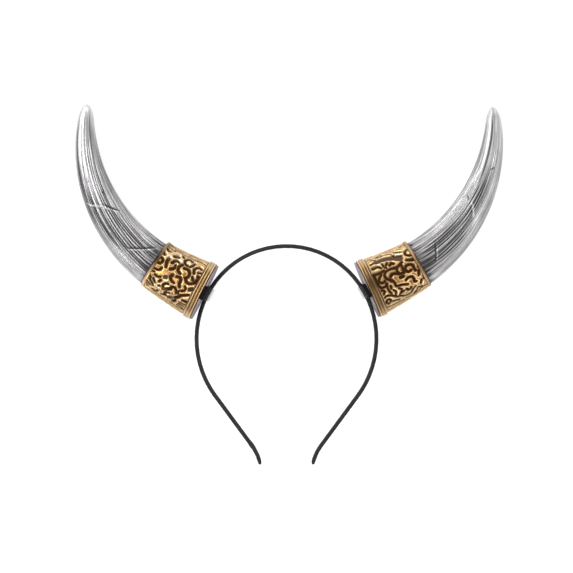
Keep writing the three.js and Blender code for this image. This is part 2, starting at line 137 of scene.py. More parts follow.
# Hollows between the scrolls of a face, each with its width at the start and at the end, and the points that
# it runs through: height above the rim and angle up from the middle of the face
HOLLOWS = {
    "first": (
        (1.1, 1.5, (6.9, 42), (8.4, 44.3), (10.3, 41), (11.1, 34), (10.2, 26.5)),
        (0.9, 1.1, (5.6, 33.5), (7.9, 31.5)),
        (0.9, 0.9, (5.6, 24.5), (7.2, 25)),
        (1.1, 1.5, (14.8, 51), (16.2, 55), (18.4, 52), (19.4, 45), (18.3, 38.5), (16.3, 36.8)),
        (1.0, 1.3, (12.6, 49), (13.3, 42), (14.6, 36.5)),
        (1.3, 1.9, (13.9, 9), (12.6, 12.5), (12.2, 19), (13.2, 25.5), (15.2, 28.6), (17.2, 27.5)),
        (1.8, 1.3, (19.5, 33), (20.4, 28), (20.8, 21.5), (19.8, 15), (18, 12.6)),
        (1.0, 1.8, (21.9, 33.8), (23.6, 35.2), (25.3, 31.5), (26, 25.5)),
        (1.0, 1.9, (23.2, 24), (22.9, 17), (24.8, 10.8)),
        (2.1, 1.3, (29.2, 29.5), (29.4, 21), (28, 9.5)),
        (2.0, 2.0, (24.4, 46.3), (26.9, 43)),
        (1.2, 1.2, (21.2, 51.5), (22.2, 56.5)),
        (1.3, 1.3, (31.9, 14), (32, 20), (33.4, 23.5), (35, 20.5), (35.2, 14), (34, 9.3), (32.6, 9.5)),
        (1.4, 0.9, (33.2, 34), (35.2, 42)),
        (1.1, 1.2, (30.9, 50.5), (32.5, 48.5), (33.8, 55)),
        (1.5, 1.4, (14.2, -13), (15.2, -7), (15.4, 0.5), (16.8, 4.5), (18.8, 3)),
        (1.0, 2.0, (18.4, -11.8), (20.4, -10.5), (22.2, -4.5), (21.8, 1.5)),
        (2.1, 2.1, (24.7, -10), (25.2, -10.6)),
        (1.2, 1.0, (30.2, 3), (30.6, -3), (32.6, -6.3), (34.8, -6.2)),
        (1.0, 1.0, (33, -13.4), (35, -15)),
        (1.1, 1.1, (27.9, -16), (29.4, -19.4), (31.6, -18.4)),
        (1.6, 1.3, (26.7, -22.8), (27.2, -27.5)),
        (1.3, 1.0, (31.2, -29), (29.2, -36)),
        (1.2, 1.2, (35, -25.5), (33, -30)),
        (1.3, 1.3, (33.2, -35), (31, -41), (29.3, -46.5)),
        (1.0, 1.0, (34.6, -43), (31.2, -49.6)),
        (0.8, 0.8, (34.8, -50), (32.4, -56)),
        (1.4, 1.4, (25.6, -36.6), (26, -37.2)),
        (1.2, 1.3, (14.2, -29.5), (15, -23.5), (16.8, -20), (18.8, -22.5)),
        (1.8, 2.2, (18.4, -27), (20.6, -33), (22.4, -37.5)),
        (1.2, 1.3, (21.4, -20.8), (23.2, -24), (23.9, -31), (22.8, -37)),
        (1.0, 1.0, (17.9, -38.3), (18.3, -38.6)),
        (0.9, 1.2, (11.2, -6.5), (10.1, -10.5), (10.6, -15.5), (11.8, -18.5)),
        (2.0, 2.0, (6.4, -4.8), (7.6, -7.5)),
        (1.2, 1.5, (5.8, 11), (7, 8), (9.4, 2.8), (11.6, 3), (13.2, 8.6)),
        (1.6, 1.2, (6.2, 16), (7.4, 9)),
        (1.4, 1.2, (8.6, 12.5), (9.9, 18)),
        (0.8, 0.8, (5.6, 20.5), (6.8, 22)),
        (1.0, 2.0, (6.4, -18), (8.3, -22.3), (10.8, -28), (11.8, -34), (13.6, -41)),
        (1.5, 1.2, (5.8, -34.6), (8.6, -36.2)),
        (0.8, 0.8, (6, -43.6), (9.8, -44.6)),
        (0.6, 0.7, (6.2, -50), (10, -50.4)),
        (0.9, 0.9, (6.2, -57), (10.4, -56.4)),
        (1.5, 1.7, (12.6, -47), (13.8, -53.6)),
        (1.7, 1.4, (19.6, -50), (22, -55)),
        (2.2, 2.2, (15.8, -46), (17.2, -51.4)),
        (1.4, 1.2, (19.9, -40.8), (20.8, -45.4)),
        (0.7, 0.8, (12.8, -19.8), (13.4, -24), (12.7, -28.4)),
        (0.9, 0.9, (25.2, -50), (25.6, -55)),
        (1.0, 1.0, (26.4, -57), (28.4, -56)),
        (0.6, 0.7, (5.8, -61), (10, -63.5), (15, -61), (19.6, -62.5)),
        (0.7, 0.5, (20.6, -64), (26, -61.5), (30, -60), (34.2, -63)),
        (0.5, 0.6, (6.4, -71), (12, -73), (18, -71), (23, -73.5)),
        (0.6, 0.5, (23.6, -70), (28.6, -70), (33.8, -72)),
        (0.8, 0.6, (5.8, 60), (10, 63.5), (14, 61.5), (18.4, 65)),
        (0.6, 0.8, (19.6, 62), (24.6, 65), (28.4, 63)),
        (0.9, 0.7, (29, 57.5), (31.6, 61), (34.2, 64)),
        (0.6, 0.6, (6.2, 73), (11, 75), (17, 72), (22, 75)),
        (0.6, 0.6, (23.4, 73), (28, 72), (33.6, 75)),
    ),
    "second": (
        (1.1, 1.2, (34.6, 45), (32.6, 45.6), (31.3, 41), (31.3, 34.5), (32.6, 29.5), (34.4, 27)),
        (1.2, 2.0, (29.8, 22), (32, 17.8), (35, 14.5)),
        (1.3, 1.5, (26.3, -1), (26.3, 5), (27.8, 10.3), (30, 9.6), (31.7, 5), (31.5, -3), (31.8, -8.5)),
        (1.4, 1.2, (26.4, -1), (27.8, -4.2), (29.5, -3)),
        (1.5, 1.4, (19.8, 18.3), (22.3, 17.2), (24.8, 20.5), (26.4, 22.8)),
        (1.3, 1.3, (25.2, 19), (25.2, 10), (24.6, 1)),
        (1.1, 1.2, (21.6, 14.5), (21, 8), (21.8, 2)),
        (1.5, 1.3, (15.6, 4.5), (17.2, 8), (19.4, 6), (21.6, 1.4), (24.6, -1)),
        (1.2, 1.2, (12.4, 12), (13.4, 17), (15.6, 19.6), (18.4, 19.4), (20.2, 17.6)),
        (1.2, 1.8, (12.4, 12), (12.6, 5), (14, 0.5), (15.2, -4.5)),
        (1.2, 1.2, (10.8, 17.2), (8.8, 12), (7.6, 6.6), (8, 2.2), (10, 0), (11.2, 1.6)),
        (1.2, 1.2, (6.2, 21), (6.2, 10), (6.4, -3), (7.4, -8), (10, -9), (11.4, -4.5)),
        (1.5, 1.4, (6, 22.6), (9, 21.4), (13.6, 22.4)),
        (1.6, 1.0, (7.4, 36.2), (11, 36), (12.6, 30.5)),
        (1.1, 1.1, (16.2, 32), (17.6, 36)),
        (0.9, 0.9, (14.5, 38), (14.6, 31), (15.8, 25.6)),
        (1.6, 1.4, (18.6, 28.6), (20, 31), (21.2, 28)),
        (2.8, 3.0, (11.6, 49.4), (15.6, 49.5), (20, 46), (23.6, 39), (26.8, 32)),
        (1.1, 0.9, (23.4, 49.5), (24.2, 43.5), (28.4, 37.6)),
        (1.0, 1.0, (25.6, 56), (29.4, 48.5)),
        (0.9, 0.9, (9.2, 62), (11.4, 57.6)),
        (0.9, 0.9, (7.4, 47.6), (10.2, 50.4)),
        (1.0, 1.0, (13.4, 64), (16.2, 62.4)),
        (1.3, 1.0, (13, -13.4), (12.7, -19)),
        (1.1, 1.1, (11.5, -5), (10.8, -12), (10.9, -21), (11.5, -28)),
        (1.2, 1.2, (15.4, -3), (16.2, -10), (16.2, -18), (17.8, -21)),
        (1.3, 1.2, (18.2, -21), (20.6, -23.4), (23.4, -28.6)),
        (1.0, 1.0, (6.8, -13), (8.2, -17), (7, -22)),
        (0.9, 0.9, (6.8, -29.6), (8.6, -28.4), (10.4, -31.4)),
        (1.0, 1.1, (6.5, -44.5), (6.8, -39.5), (8.2, -37.2), (9.4, -41), (9, -46.5), (7.4, -48.6)),
        (1.0, 1.0, (11.2, -33), (12.6, -37.6), (14.3, -43), (17, -47.4), (18.6, -51.8), (21, -55)),
        (1.0, 1.0, (21, -55), (23.6, -53.2), (25.2, -47.6), (27.2, -43.6)),
        (1.0, 1.1, (10.6, -48.4), (12.8, -50.6), (14.6, -53.4)),
        (1.1, 1.1, (16.4, -40), (19.6, -38)),
        (1.3, 1.1, (21.4, -37), (22.6, -43), (24, -42), (24.6, -39)),
        (1.8, 1.8, (21.2, -6.4), (23, -7)),
        (1.4, 1.3, (23.6, -17.4), (25.4, -15), (27.9, -17.4), (28.3, -23.6), (28, -30), (29, -33)),
        (1.6, 1.2, (33.4, -13), (32.2, -23)),
        (1.2, 1.2, (34.6, -4), (35, -10)),
        (1.0, 1.0, (34.6, -29), (35.2, -32)),
        (1.2, 1.0, (32.4, -36.2), (31, -44.4)),
        (1.0, 1.0, (34, -35.4), (35.4, -40)),
        (1.0, 1.0, (27.4, -55), (25, -61)),
        (1.0, 1.0, (28.4, -50.4), (30.6, -54.4)),
        (0.9, 0.9, (13.6, -24), (14.6, -30), (13.6, -36)),
        (0.8, 0.8, (17.2, -26), (18.6, -32), (17.6, -36)),
        (0.7, 0.6, (5.8, -56), (9.4, -59), (13.4, -60.5), (17.6, -63)),
        (0.6, 0.7, (19, -62), (23, -65), (27, -63)),
        (0.7, 0.6, (28.6, -61), (31.6, -58), (34.6, -60)),
        (0.6, 0.6, (6.2, -68), (11, -70), (16.4, -71), (21, -74)),
        (0.6, 0.5, (22.4, -72), (28, -70), (33.8, -71)),
        (0.7, 0.6, (5.8, 66), (8.6, 69), (12, 67), (16, 70)),
        (0.7, 0.7, (16.8, 66), (19.4, 63), (22.6, 55)),
        (0.6, 0.7, (20.6, 70), (24.4, 68), (27.6, 64), (30, 59)),
        (0.8, 0.6, (30.6, 66), (32.4, 70), (34.4, 65)),
        (0.6, 0.6, (6.4, 77), (13, 78), (20, 76)),
        (0.6, 0.6, (22, 78), (28, 75), (33.6, 77)),
    ),
}

# Hollows of the leafy vine on each flank of the collar, charted in the same way, with the angle from the
# middle of the flank. Each flank has the angle of its middle and the way in which its angles count.
VINE = (
    (0.9, 0.7, (5.8, -4), (8, 2), (10.6, 5.5), (13.2, 2), (15.4, -4), (18, -7), (20.6, -3.5)),
    (0.7, 0.9, (20.6, -3.5), (22.8, 3), (25.4, 6.5), (28, 3), (30.2, -3.5), (33.6, -6)),
    (1.5, 0.6, (9.8, -6.5), (12.4, -2.6)),
    (0.6, 1.3, (8.2, 8.6), (10.8, 10.4)),
    (1.5, 0.6, (17.2, 5.5), (19.8, 1.6)),
    (0.6, 1.3, (15.4, -9.8), (18.2, -11.4)),
    (1.5, 0.6, (24.6, -5.5), (27.2, -1.6)),
    (0.6, 1.3, (23, 9.6), (25.6, 11.2)),
    (1.4, 0.6, (31.4, 4.8), (33.6, 1)),
    (0.6, 1.2, (30, -8.4), (32.6, -10.4)),
)
FLANKS = ((90, 1), (-90, -1))

# Cracks across the grooves of the horn, and two dark lines along them: share of the full depth, share of
# the full lip on the lower side, and the points of the line, each as a distance from the rim and an angle
CRACKS = {
    "first": (
        (1.0, 0.7, (40.4, 44), (56.4, -17)),
        (1.0, 0.4, (77.4, 41), (87, 4)),
        (0.2, 1.0, (82, 22), (87, 0), (93.8, -58)),
        (0.8, 0.3, (92.6, 25), (95.6, 19)),
        (0.55, 0.0, (56, -11), (76, -7), (94, -3.4)),
        (0.5, 0.0, (58, -27), (74, -23.8), (90, -20.6)),
    ),
    "second": (
        (1.0, 0.4, (53.6, 24), (44.4, -24)),
        (0.4, 1.0, (88.4, 13), (80.4, -19)),
        (0.5, 0.4, (113.4, -5), (116, -29)),
        (0.5, 0.6, (93.2, 40), (89.4, 25)),
    ),
}

# Dark wash left on the horn, together with painted shade: a painted shadow round the root in the collar's
# mouth and darker flanks. Where the strength is negative the wash is rubbed off, which is rubbed paint and
# painted
# highlight. Each row: distance, angle, half length, half spread and strength
STAINS_AND_SHADING = {
    "first": (
        # The first rows paint the shadow round the root, in the collar's mouth
        (36, 0, 2.6, 100, 0.9),
        (39, 18, 8, 46, 1.0),
        (62, 2, 26, 28, 0.75),
        (46, 82, 12, 26, 0.4),
        (66, 72, 14, 14, 0.2),
        (98, 66, 26, 18, 0.12),
        (80, 28, 40, 9, 0.22),
        (68, -4, 18, 12, 1.0),
        (137, 8, 9, 18, 0.3),
        (146, 0, 7, 14, 0.25),
        (136, 46, 9, 14, 0.35),
        (44, -52, 16, 14, -0.6),
        (42, -20, 7, 9, -0.5),
        (83, -34, 11, 14, 0.95),
        (96, -58, 18, 22, 0.5),
        (118, -54, 18, 15, 0.4),
        (74, -32, 10, 9, 0.5),
        (136, -50, 10, 12, 0.45),
        (124, 46, 20, 22, 0.4),
        (142, 25, 10, 24, 0.35),
        (52, -38, 12, 14, -0.4),
        (56, 46, 22, 10, -0.35),
        (98, 0, 9, 16, -0.4),
        (122, -18, 28, 13, -0.3),
    ),
    "second": (
        # The first rows paint the shadow round the root, in the collar's mouth
        (36, 0, 2.6, 100, 0.9),
        (37.4, 4, 2.4, 40, 1.0),
        (58, 4, 28, 22, 1.0),
        (40, 9, 7, 30, 1.0),
        (54, 0, 22, 14, 1.0),
        (64, -26, 14, 12, 0.3),
        (91, -2, 13, 12, 0.6),
        (108, 11, 22, 10, 1.0),
        (132, 8, 12, 11, 0.8),
        (149, 3, 8, 14, 1.0),
        (142, 11, 10, 11, 0.9),
        (56, 4, 14, 14, 0.5),
        (90, -8, 12, 7, 0.4),
        (60, -44, 26, 16, -0.5),
        (100, -36, 18, 9, -0.3),
        (46, 80, 14, 24, 0.35),
        (110, 80, 50, 24, 0.2),
        (64, 44, 26, 12, -0.5),
        (88, 30, 18, 15, -1.5),
        (84, 64, 18, 16, -0.4),
        (128, 34, 24, 16, 0.2),
        (86, -20, 7, 8, -0.4),
        (132, -17, 20, 10, -0.8),
        (130, 66, 14, 14, 0.5),
    ),
}

# Where the gold is deeper and less rubbed towards the middle of each face, the gold's own deeper tone
# together
# with painted shade: height, angle, half length, half spread and strength
AMBER_AND_SHADE = {
    "first": (
        (20, 6, 18, 24, 1.0),
        (30, -10, 10, 16, 0.6),
    ),
    "second": (
        (14, 4, 12, 22, 1.0),
        (28, 4, 12, 22, 1.0),
        (22, -24, 8, 14, 0.5),
    ),
}

# Where the gold has gone brown, with painted shade in the rows at the lip, where the horn goes in, and at
# the rim beside the plate: height, angle, half length, half spread and strength
TARNISH_AND_SHADE = {
    "first": (
        # Painted shade at the lip, where the horn goes in, and at the rim beside the plate
        (36, 30, 1.8, 42, 0.95),
        (35.6, 74, 2.6, 24, 0.8),
        (32.6, 74, 4, 14, 0.7),
        (2.4, 2, 4, 30, 0.5),
        (2.4, -32, 4, 14, 0.5),
        (18, 70, 22, 16, 0.6),
        (8, -48, 6, 14, 0.35),
        (20, -66, 18, 16, 0.4),
    ),
    "second": (
        # Painted shade at the lip, where the horn goes in, and at the rim beside the plate
        (36, 4, 2.3, 48, 1.0),
        (36, -60, 1.8, 30, 0.7),
        (36, 62, 2.0, 26, 0.75),
        (2.4, 8, 3.8, 30, 0.95),
        (2.4, -36, 3.8, 26, 0.8),
        (16, 46, 8, 12, 0.4),
        (18, 10, 18, 14, 0.3),
        (20, 70, 18, 15, 0.45),
        (20, -62, 18, 14, 0.4),
    ),
}

# Painted highlights, where the gold is painted a pale cream on its upper side and both flanks, together with
# gold rubbed to a cream: height, angle, half length, half spread and strength
CREAM_AND_HIGHLIGHTS = {
    "first": (
        (27, 44, 10, 16, 0.9),
        (14, 38, 8, 12, 0.5),
        (30, -46, 7, 14, 0.5),
        (2.4, 60, 4, 16, 0.6),
        (2.4, -62, 4, 14, 0.6),
        (18, 68, 18, 14, 0.7),
        (18, -58, 18, 12, 0.6),
    ),
    "second": (
        (29, 46, 6, 14, 0.8),
        (10, 36, 5, 8, 0.6),
        (18, 66, 18, 12, 0.7),
        (18, -56, 18, 12, 0.6),
        (2.4, 66, 4, 16, 0.5),
    ),
}

# Where the brown wash was left on raised parts as well, and painted shade at the lip, where the horn goes in,
# and on the rim beside the plate: height, angle, half length, half spread and strength
GRIME_AND_SHADE = {
    "first": (
        # Painted shade at the lip, where the horn goes in
        (36.3, 15, 2.4, 26, 1.0),
        (36.4, -14, 0.9, 14, 0.5),
        (7.4, 12, 2.6, 12, 0.35),
        (29, 24, 1.4, 8, 0.4),
    ),
    "second": (
        # Painted shade at the lip and on the rim
        (36.2, 8, 1.4, 22, 0.6),
        (36.3, -26, 1.0, 20, 0.45),
        (2.6, 10, 3.2, 22, 0.8),
        (2.6, -26, 3, 16, 0.3),
        (9, 2, 4, 12, 0.4),
        (22, 12, 8, 8, 0.3),
    ),
}

# How finely the pieces are meshed, and the seed of what is drawn at random

HORN_SIDES = 480
HORN_RINGS = 192
COLLAR_SIDES = 540
COLLAR_STEP = 0.225
BORE_RINGS = 6
BAND_STEP = 0.5
BAND_SIDES = 44
PLATE_SIDES = 96
BEVEL_SEGMENTS = 3
MERGE_DISTANCE = 1e-4
GROOVE_SEED = 7

# The photograph's frame

FRAME_PIXELS = 573
MM_PER_PIXEL = 0.65
CROWN_TOP_PIXEL = 244.2
VIEW_DISTANCE = 1150.0
SENSOR_WIDTH = 36.0

# Lines made of arcs


def arc_line(stretches, distance, start_turn=0.0):
    """Points and turns along a line of stretches, each with a length and a turn. The line leaves the origin
    at a turn from +Y and turns towards +X, and past its ends it runs straight."""
    left = np.asarray(distance, float)
    x = np.zeros_like(left)
    y = np.zeros_like(left)
    turn = np.full_like(left, math.radians(start_turn))
    for length, full_turn in stretches:
        run = np.minimum(left, length)
        bend = np.maximum(run, 0) * math.radians(full_turn) / length
        chord = run * np.sinc(bend / 2 / math.pi)
        x = x + chord * np.sin(turn + bend / 2)
        y = y + chord * np.cos(turn + bend / 2)
        turn = turn + bend
        left = left - run
    return x + left * np.sin(turn), y + left * np.cos(turn), turn


def bend_along_horn(points):
    """Bends points round an upright +Y axis so that the axis follows the horn's line."""
    x, y, turn = arc_line(HORN_STRETCHES, points[:, 1])
    bent_x = x + points[:, 0] * np.cos(turn)
    bent_y = y - points[:, 0] * np.sin(turn)
    return np.column_stack((bent_x, bent_y, points[:, 2]))


# Places, from the frame


def node_corners(name):
    """A solid's corners in millimetres, each one once."""
    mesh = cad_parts[name].data
    corners = np.empty(3 * len(mesh.vertices))
    mesh.vertices.foreach_get("co", corners)
    return np.unique(corners.reshape(-1, 3).round(7), axis=0) / MM


def band_plane():
    """The matrix from the plane of the band, with its origin at the crown's centre, to the frame."""
    corners = node_corners("headband")
    normal = np.linalg.svd(corners - corners.mean(0), full_matrices=False)[2][-1]
    normal = normal * np.sign(normal[2])
    along = np.array((1.0, 0.0, 0.0))
    up = np.cross(normal, along)
    angle, heading, turn = SEATS["left"]
    behind = GAP + PLATE_THICKNESS / 2
    plate_x = -SEAT_RADIUS * math.cos(math.radians(angle)) + behind * math.cos(math.radians(heading))
    plate_y = SEAT_RADIUS * math.sin(math.radians(angle)) - behind * math.sin(math.radians(heading))
    origin = node_corners("base_plate_left").mean(0) - along * plate_x - up * plate_y
    plane = Matrix(np.column_stack((along, up, normal)).tolist()).to_4x4()
    plane.translation = origin
    return plane


PLANE = band_plane()


def seat_matrix(side):
    """The matrix from a horn's own axes, with +Y along its root, to the frame."""
    angle, heading, turn = SEATS[side]
    out = math.radians(angle)
    place = Matrix.Translation((-SEAT_RADIUS * math.cos(out), SEAT_RADIUS * math.sin(out), 0))
    lean = Matrix.Rotation(math.radians(90 - heading), 4, "Z")
    return PLANE @ Matrix.Rotation(math.radians(turn), 4, "Y") @ place @ lean


def fixing_matrix(side):
    """The matrix for the pads and the strap, which are square to the band."""
    angle, heading, turn = SEATS[side]
    return seat_matrix(side) @ Matrix.Rotation(math.radians(heading - angle), 4, "Z")


def placed(mesh, matrix):
    """Moves a mesh made in millimetres to its place in the frame, in metres."""
    mesh.transform(Matrix.Scale(MM, 4) @ matrix)
    return mesh


# Meshes


def bm_points(bm):
    return np.array([vert.co[:] for vert in bm.verts])


def move_points(bm, points):
    for vert, point in zip(bm.verts, points.tolist()):
        vert.co = point


def set_layer(bm, name, values):
    """Keeps a value at each vertex, for the materials."""
    layer = bm.verts.layers.float.new(name)
    for vert, value in zip(bm.verts, values.tolist()):
        vert[layer] = value


def set_vector_layer(bm, name, vectors):
    layer = bm.verts.layers.float_vector.new(name)
    for vert, vector in zip(bm.verts, vectors.tolist()):
        vert[layer] = vector


def to_mesh(bm, name):
    """Closes a bmesh, turns its faces outwards and writes it to a smooth-shaded mesh."""
    bmesh.ops.remove_doubles(bm, verts=bm.verts[:], dist=MERGE_DISTANCE)
    bmesh.ops.recalc_face_normals(bm, faces=bm.faces[:])
    for face in bm.faces:
        face.smooth = True
    mesh = bpy.data.meshes.new(name)
    bm.to_mesh(mesh)
    bm.free()
    return mesh


def spin_profile(profile, sides):
    """Spins a profile of (radius, height) points round the Y axis."""
    bm = bmesh.new()
    verts = [bm.verts.new((0, height, radius)) for radius, height in profile]
    edges = [bm.edges.new(pair) for pair in zip(verts, verts[1:])]
    bmesh.ops.spin(
        bm,
        geom=verts + edges,
        cent=(0, 0, 0),
        axis=(0, 1, 0),
        angle=math.tau,
        steps=sides,
        use_merge=True,
    )
    return bm


def round_axis(points):
    """The angle of points round the Y axis, from +Z towards +X, and their distance from it."""
    angle = np.degrees(np.arctan2(points[:, 0], points[:, 2]))
    return angle, np.hypot(points[:, 0], points[:, 2])


def widened(points, scale):
    """Points scaled away from the Y axis."""
    return points * np.column_stack((scale, np.ones_like(scale), scale))


def add_object(name, data):
    made = bpy.data.objects.new(name, data)
    bpy.context.scene.collection.objects.link(made)
    return made


def add_piece(name, mesh, material, node):
    """Makes a piece that stands for a solid and rides with it."""
    piece = add_object(name, mesh)
    mesh.materials.append(material)
    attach(piece, "root")
    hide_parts(node)
    return piece


def add_castings(name, casting, material, node):
    """Places a copy of a casting on each side, where it stands for the solid of that side."""
    for side in SEATS:
        mesh = placed(casting.copy(), seat_matrix(side))
        add_piece(f"{name}_{side}", mesh, material, f"{node}_{side}")
    bpy.data.meshes.remove(casting)


# Drawing on a surface


def smooth_line(points, steps=6):
    """A soft line through a few points, as an array."""
    points = np.asarray(points, float)
    if len(points) == 2:
        return points
    before = np.vstack((2 * points[0] - points[1], points[:-1]))
    after = np.vstack((points[1:], 2 * points[-1] - points[-2]))
    slope = (after - before) / 2
    share = np.linspace(0, 1, steps, endpoint=False)[:, None]
    line = []
    for index in range(len(points) - 1):
        start, end = points[index], points[index + 1]
        line.append(
            start * (2 * share**3 - 3 * share**2 + 1)
            + end * (3 * share**2 - 2 * share**3)
            + slope[index] * (share**3 - 2 * share**2 + share)
            + slope[index + 1] * (share**3 - share**2)
        )
    return np.vstack((*line, points[-1:]))


def on_face(face, points):
    """Charted points with their angle measured round the whole casting."""
    if face == "first":
        return [(height, angle) for height, angle in points]
    return [(height, 180 - angle) for height, angle in points]


def turned_from(angle, middle):
    """Angles measured from a middle, from -180 to 180."""
    return (angle - middle + 180) % 360 - 180


def bell(value, half_width):
    """A soft bell, 1 at 0."""
    return np.exp(-((value / half_width) ** 2))


def blot(along, angle, at, place, half_length, half_spread):
    """A soft blot on a surface, 1 in its middle."""
    return np.exp(-(((along - at) / half_length) ** 2) - (turned_from(angle, place) / half_spread) ** 2)


def to_stroke(heights, angles, radii, line, reach):
    """Which surface points lie near a line drawn on the surface, with their distance from it, their share
    along it and the side on which they lie."""
    line = np.asarray(line, float)
    middle = line[:, 1].mean()
    turned = turned_from(angles, middle)
    line_turned = line[:, 1] - middle
    spread = np.degrees(reach / np.maximum(radii, 1))
    near = (heights > line[:, 0].min() - reach) & (heights < line[:, 0].max() + reach)
    near &= (turned > line_turned.min() - spread) & (turned < line_turned.max() + spread)
    which = np.flatnonzero(near)
    scale = np.radians(1) * radii[which]
    distance = np.full(len(which), np.inf)
    share = np.zeros(len(which))
    side = np.ones(len(which))
    pieces = len(line) - 1
    for index in range(pieces):
        x = heights[which] - line[index, 0]
        y = (turned[which] - line_turned[index]) * scale
        run_x = line[index + 1, 0] - line[index, 0]
        run_y = (line_turned[index + 1] - line_turned[index]) * scale
        along = np.clip((x * run_x + y * run_y) / (run_x**2 + run_y**2), 0, 1)
        apart = np.hypot(x - along * run_x, y - along * run_y)
        closer = apart < distance
        distance = np.where(closer, apart, distance)
        share = np.where(closer, (index + along) / pieces, share)
        side = np.where(closer, np.sign(x * run_y - y * run_x), side)
    return which, distance, share, side


def ease(value, low, high):
    """A soft step from 0 at low to 1 at high."""
    share = np.clip((value - low) / (high - low), 0, 1)
    return share * share * (3 - 2 * share)


def bead(value, middle, half_width):
    """The height of a half-round bead across its width, from 0 to 1."""
    return np.sqrt(np.clip(1 - ((value - middle) / half_width) ** 2, 0, 1))


# Materials

# Limits of nearly all noise, and limits between which patches of it fade in
NOISE_RANGE = (0.3, 0.7)
PATCH_RANGE = (0.25, 0.6)
WEAVE_SHADE = (0.006, 0.006, 0.006)
WHITE = (1.0, 1.0, 1.0)

# Patterns of the silver paint: scale across, along and through the straightened horn, detail and roughness
SILVER_PATTERNS = {
    "lines": ((1.6, 0.02, 1.6), 3.0, 0.6),
    "hairs": ((4.5, 0.05, 4.5), 2.0, 0.5),
    "streaks": ((1.1, 0.03, 1.1), 3.0, 0.6),
    "clouds": ((0.12, 0.05, 0.12), 3.0, 0.6),
}
# Distances between which the horn pales towards its tip
PALE_TIP = (137.0, 152.0)


class Finish:
    """A material with short calls that add nodes to its tree and feed its shader."""

    def __init__(self, name, sockets):
        self.material = bpy.data.materials.new(name)
        self.material.use_nodes = True
        self.tree = self.material.node_tree
        self.shader = self.tree.nodes["Principled BSDF"]
        self.feed(self.shader, sockets)

    def feed(self, node, inputs):
        for socket, value in inputs.items():
            if isinstance(value, bpy.types.NodeSocket):
                self.tree.links.new(value, node.inputs[socket])
            else:
                node.inputs[socket].default_value = value

    def add(self, kind, inputs=None, **settings):
        node = self.tree.nodes.new("ShaderNode" + kind)
        for name, value in settings.items():
            setattr(node, name, value)
        self.feed(node, inputs or {})
        return node

    def value(self, name):
        return self.add("Attribute", attribute_name=name).outputs["Fac"]

    def vector(self, name):
        return self.add("Attribute", attribute_name=name).outputs["Vector"]

    def position(self):
        return self.add("TexCoord").outputs["Object"]

    def stretch(self, vector, scale):
        return self.add("Mapping", {"Vector": vector, "Scale": scale}).outputs["Vector"]

    def noise(self, vector, scale, detail=3.0, roughness=0.55):
        inputs = {"Vector": vector, "Scale": scale, "Detail": detail, "Roughness": roughness}
        return self.add("TexNoise", inputs).outputs[0]

    def bands(self, vector, period, direction):
        """Bands across a direction. A wave texture of scale 1 repeats every pi / 10."""
        inputs = {"Vector": vector, "Scale": math.pi / 10 / period}
        node = self.add("TexWave", inputs, wave_type="BANDS", bands_direction=direction)
        return node.outputs[1]

    def remap(self, value, low, high, to_low=0.0, to_high=1.0):
        inputs = {"Value": value, "From Min": low, "From Max": high, "To Min": to_low, "To Max": to_high}
        return self.add("MapRange", inputs).outputs[0]

    def maths(self, operation, first, second):
        return self.add("Math", {0: first, 1: second}, operation=operation).outputs[0]

    def mix(self, share, first, second):
        inputs = {0: share, 6: first, 7: second}
        return self.add("Mix", inputs, data_type="RGBA").outputs[2]

    def bump(self, height, distance, strength):
        inputs = {"Height": height, "Distance": distance, "Strength": strength}
        self.feed(self.shader, {"Normal": self.add("Bump", inputs).outputs["Normal"]})

    def colour(self, socket):
        self.feed(self.shader, {"Base Color": socket})


def rgba(colour, times=1.0):
    return (*[times * part for part in colour], 1.0)


def ribbon_finish(settings):
    """Black ribbon, woven with fine ribs across its length and wound round the band."""
    finish = Finish("black_ribbon", {"Specular IOR Level": 0.2, "Sheen Weight": 0.04, "Sheen Roughness": 0.4})
    length = 2 * BAND_HALF * MM
    round_section = 2 * (BAND_THICKNESS + BAND_WIDTH) * MM
    cloth = finish.stretch(finish.add("TexCoord").outputs["UV"], (length, round_section, 1))
    weft = finish.bands(cloth, settings.rib_pitch, "X")
    warp = finish.bands(cloth, settings.rib_pitch, "Y")
    weave = finish.maths("MULTIPLY", weft, warp)
    wear = finish.noise(finish.position(), scale=160.0, detail=4.0)
    pale = rgba(settings.ribbon_colour, times=2.1)
    base = finish.mix(finish.remap(wear, 0.42, 0.7), rgba(settings.ribbon_colour), pale)
    edged = finish.mix(finish.remap(finish.value("turn"), 0.75, 1.0, 0.0, 0.35), base, pale)
    finish.colour(finish.mix(finish.remap(weave, 0.0, 1.0, 0.0, 0.35), edged, rgba(WEAVE_SHADE)))
    finish.feed(finish.shader, {"Roughness": finish.remap(wear, *NOISE_RANGE, 0.55, 0.75)})
    finish.bump(weave, distance=0.00012, strength=0.5)
    return finish.material


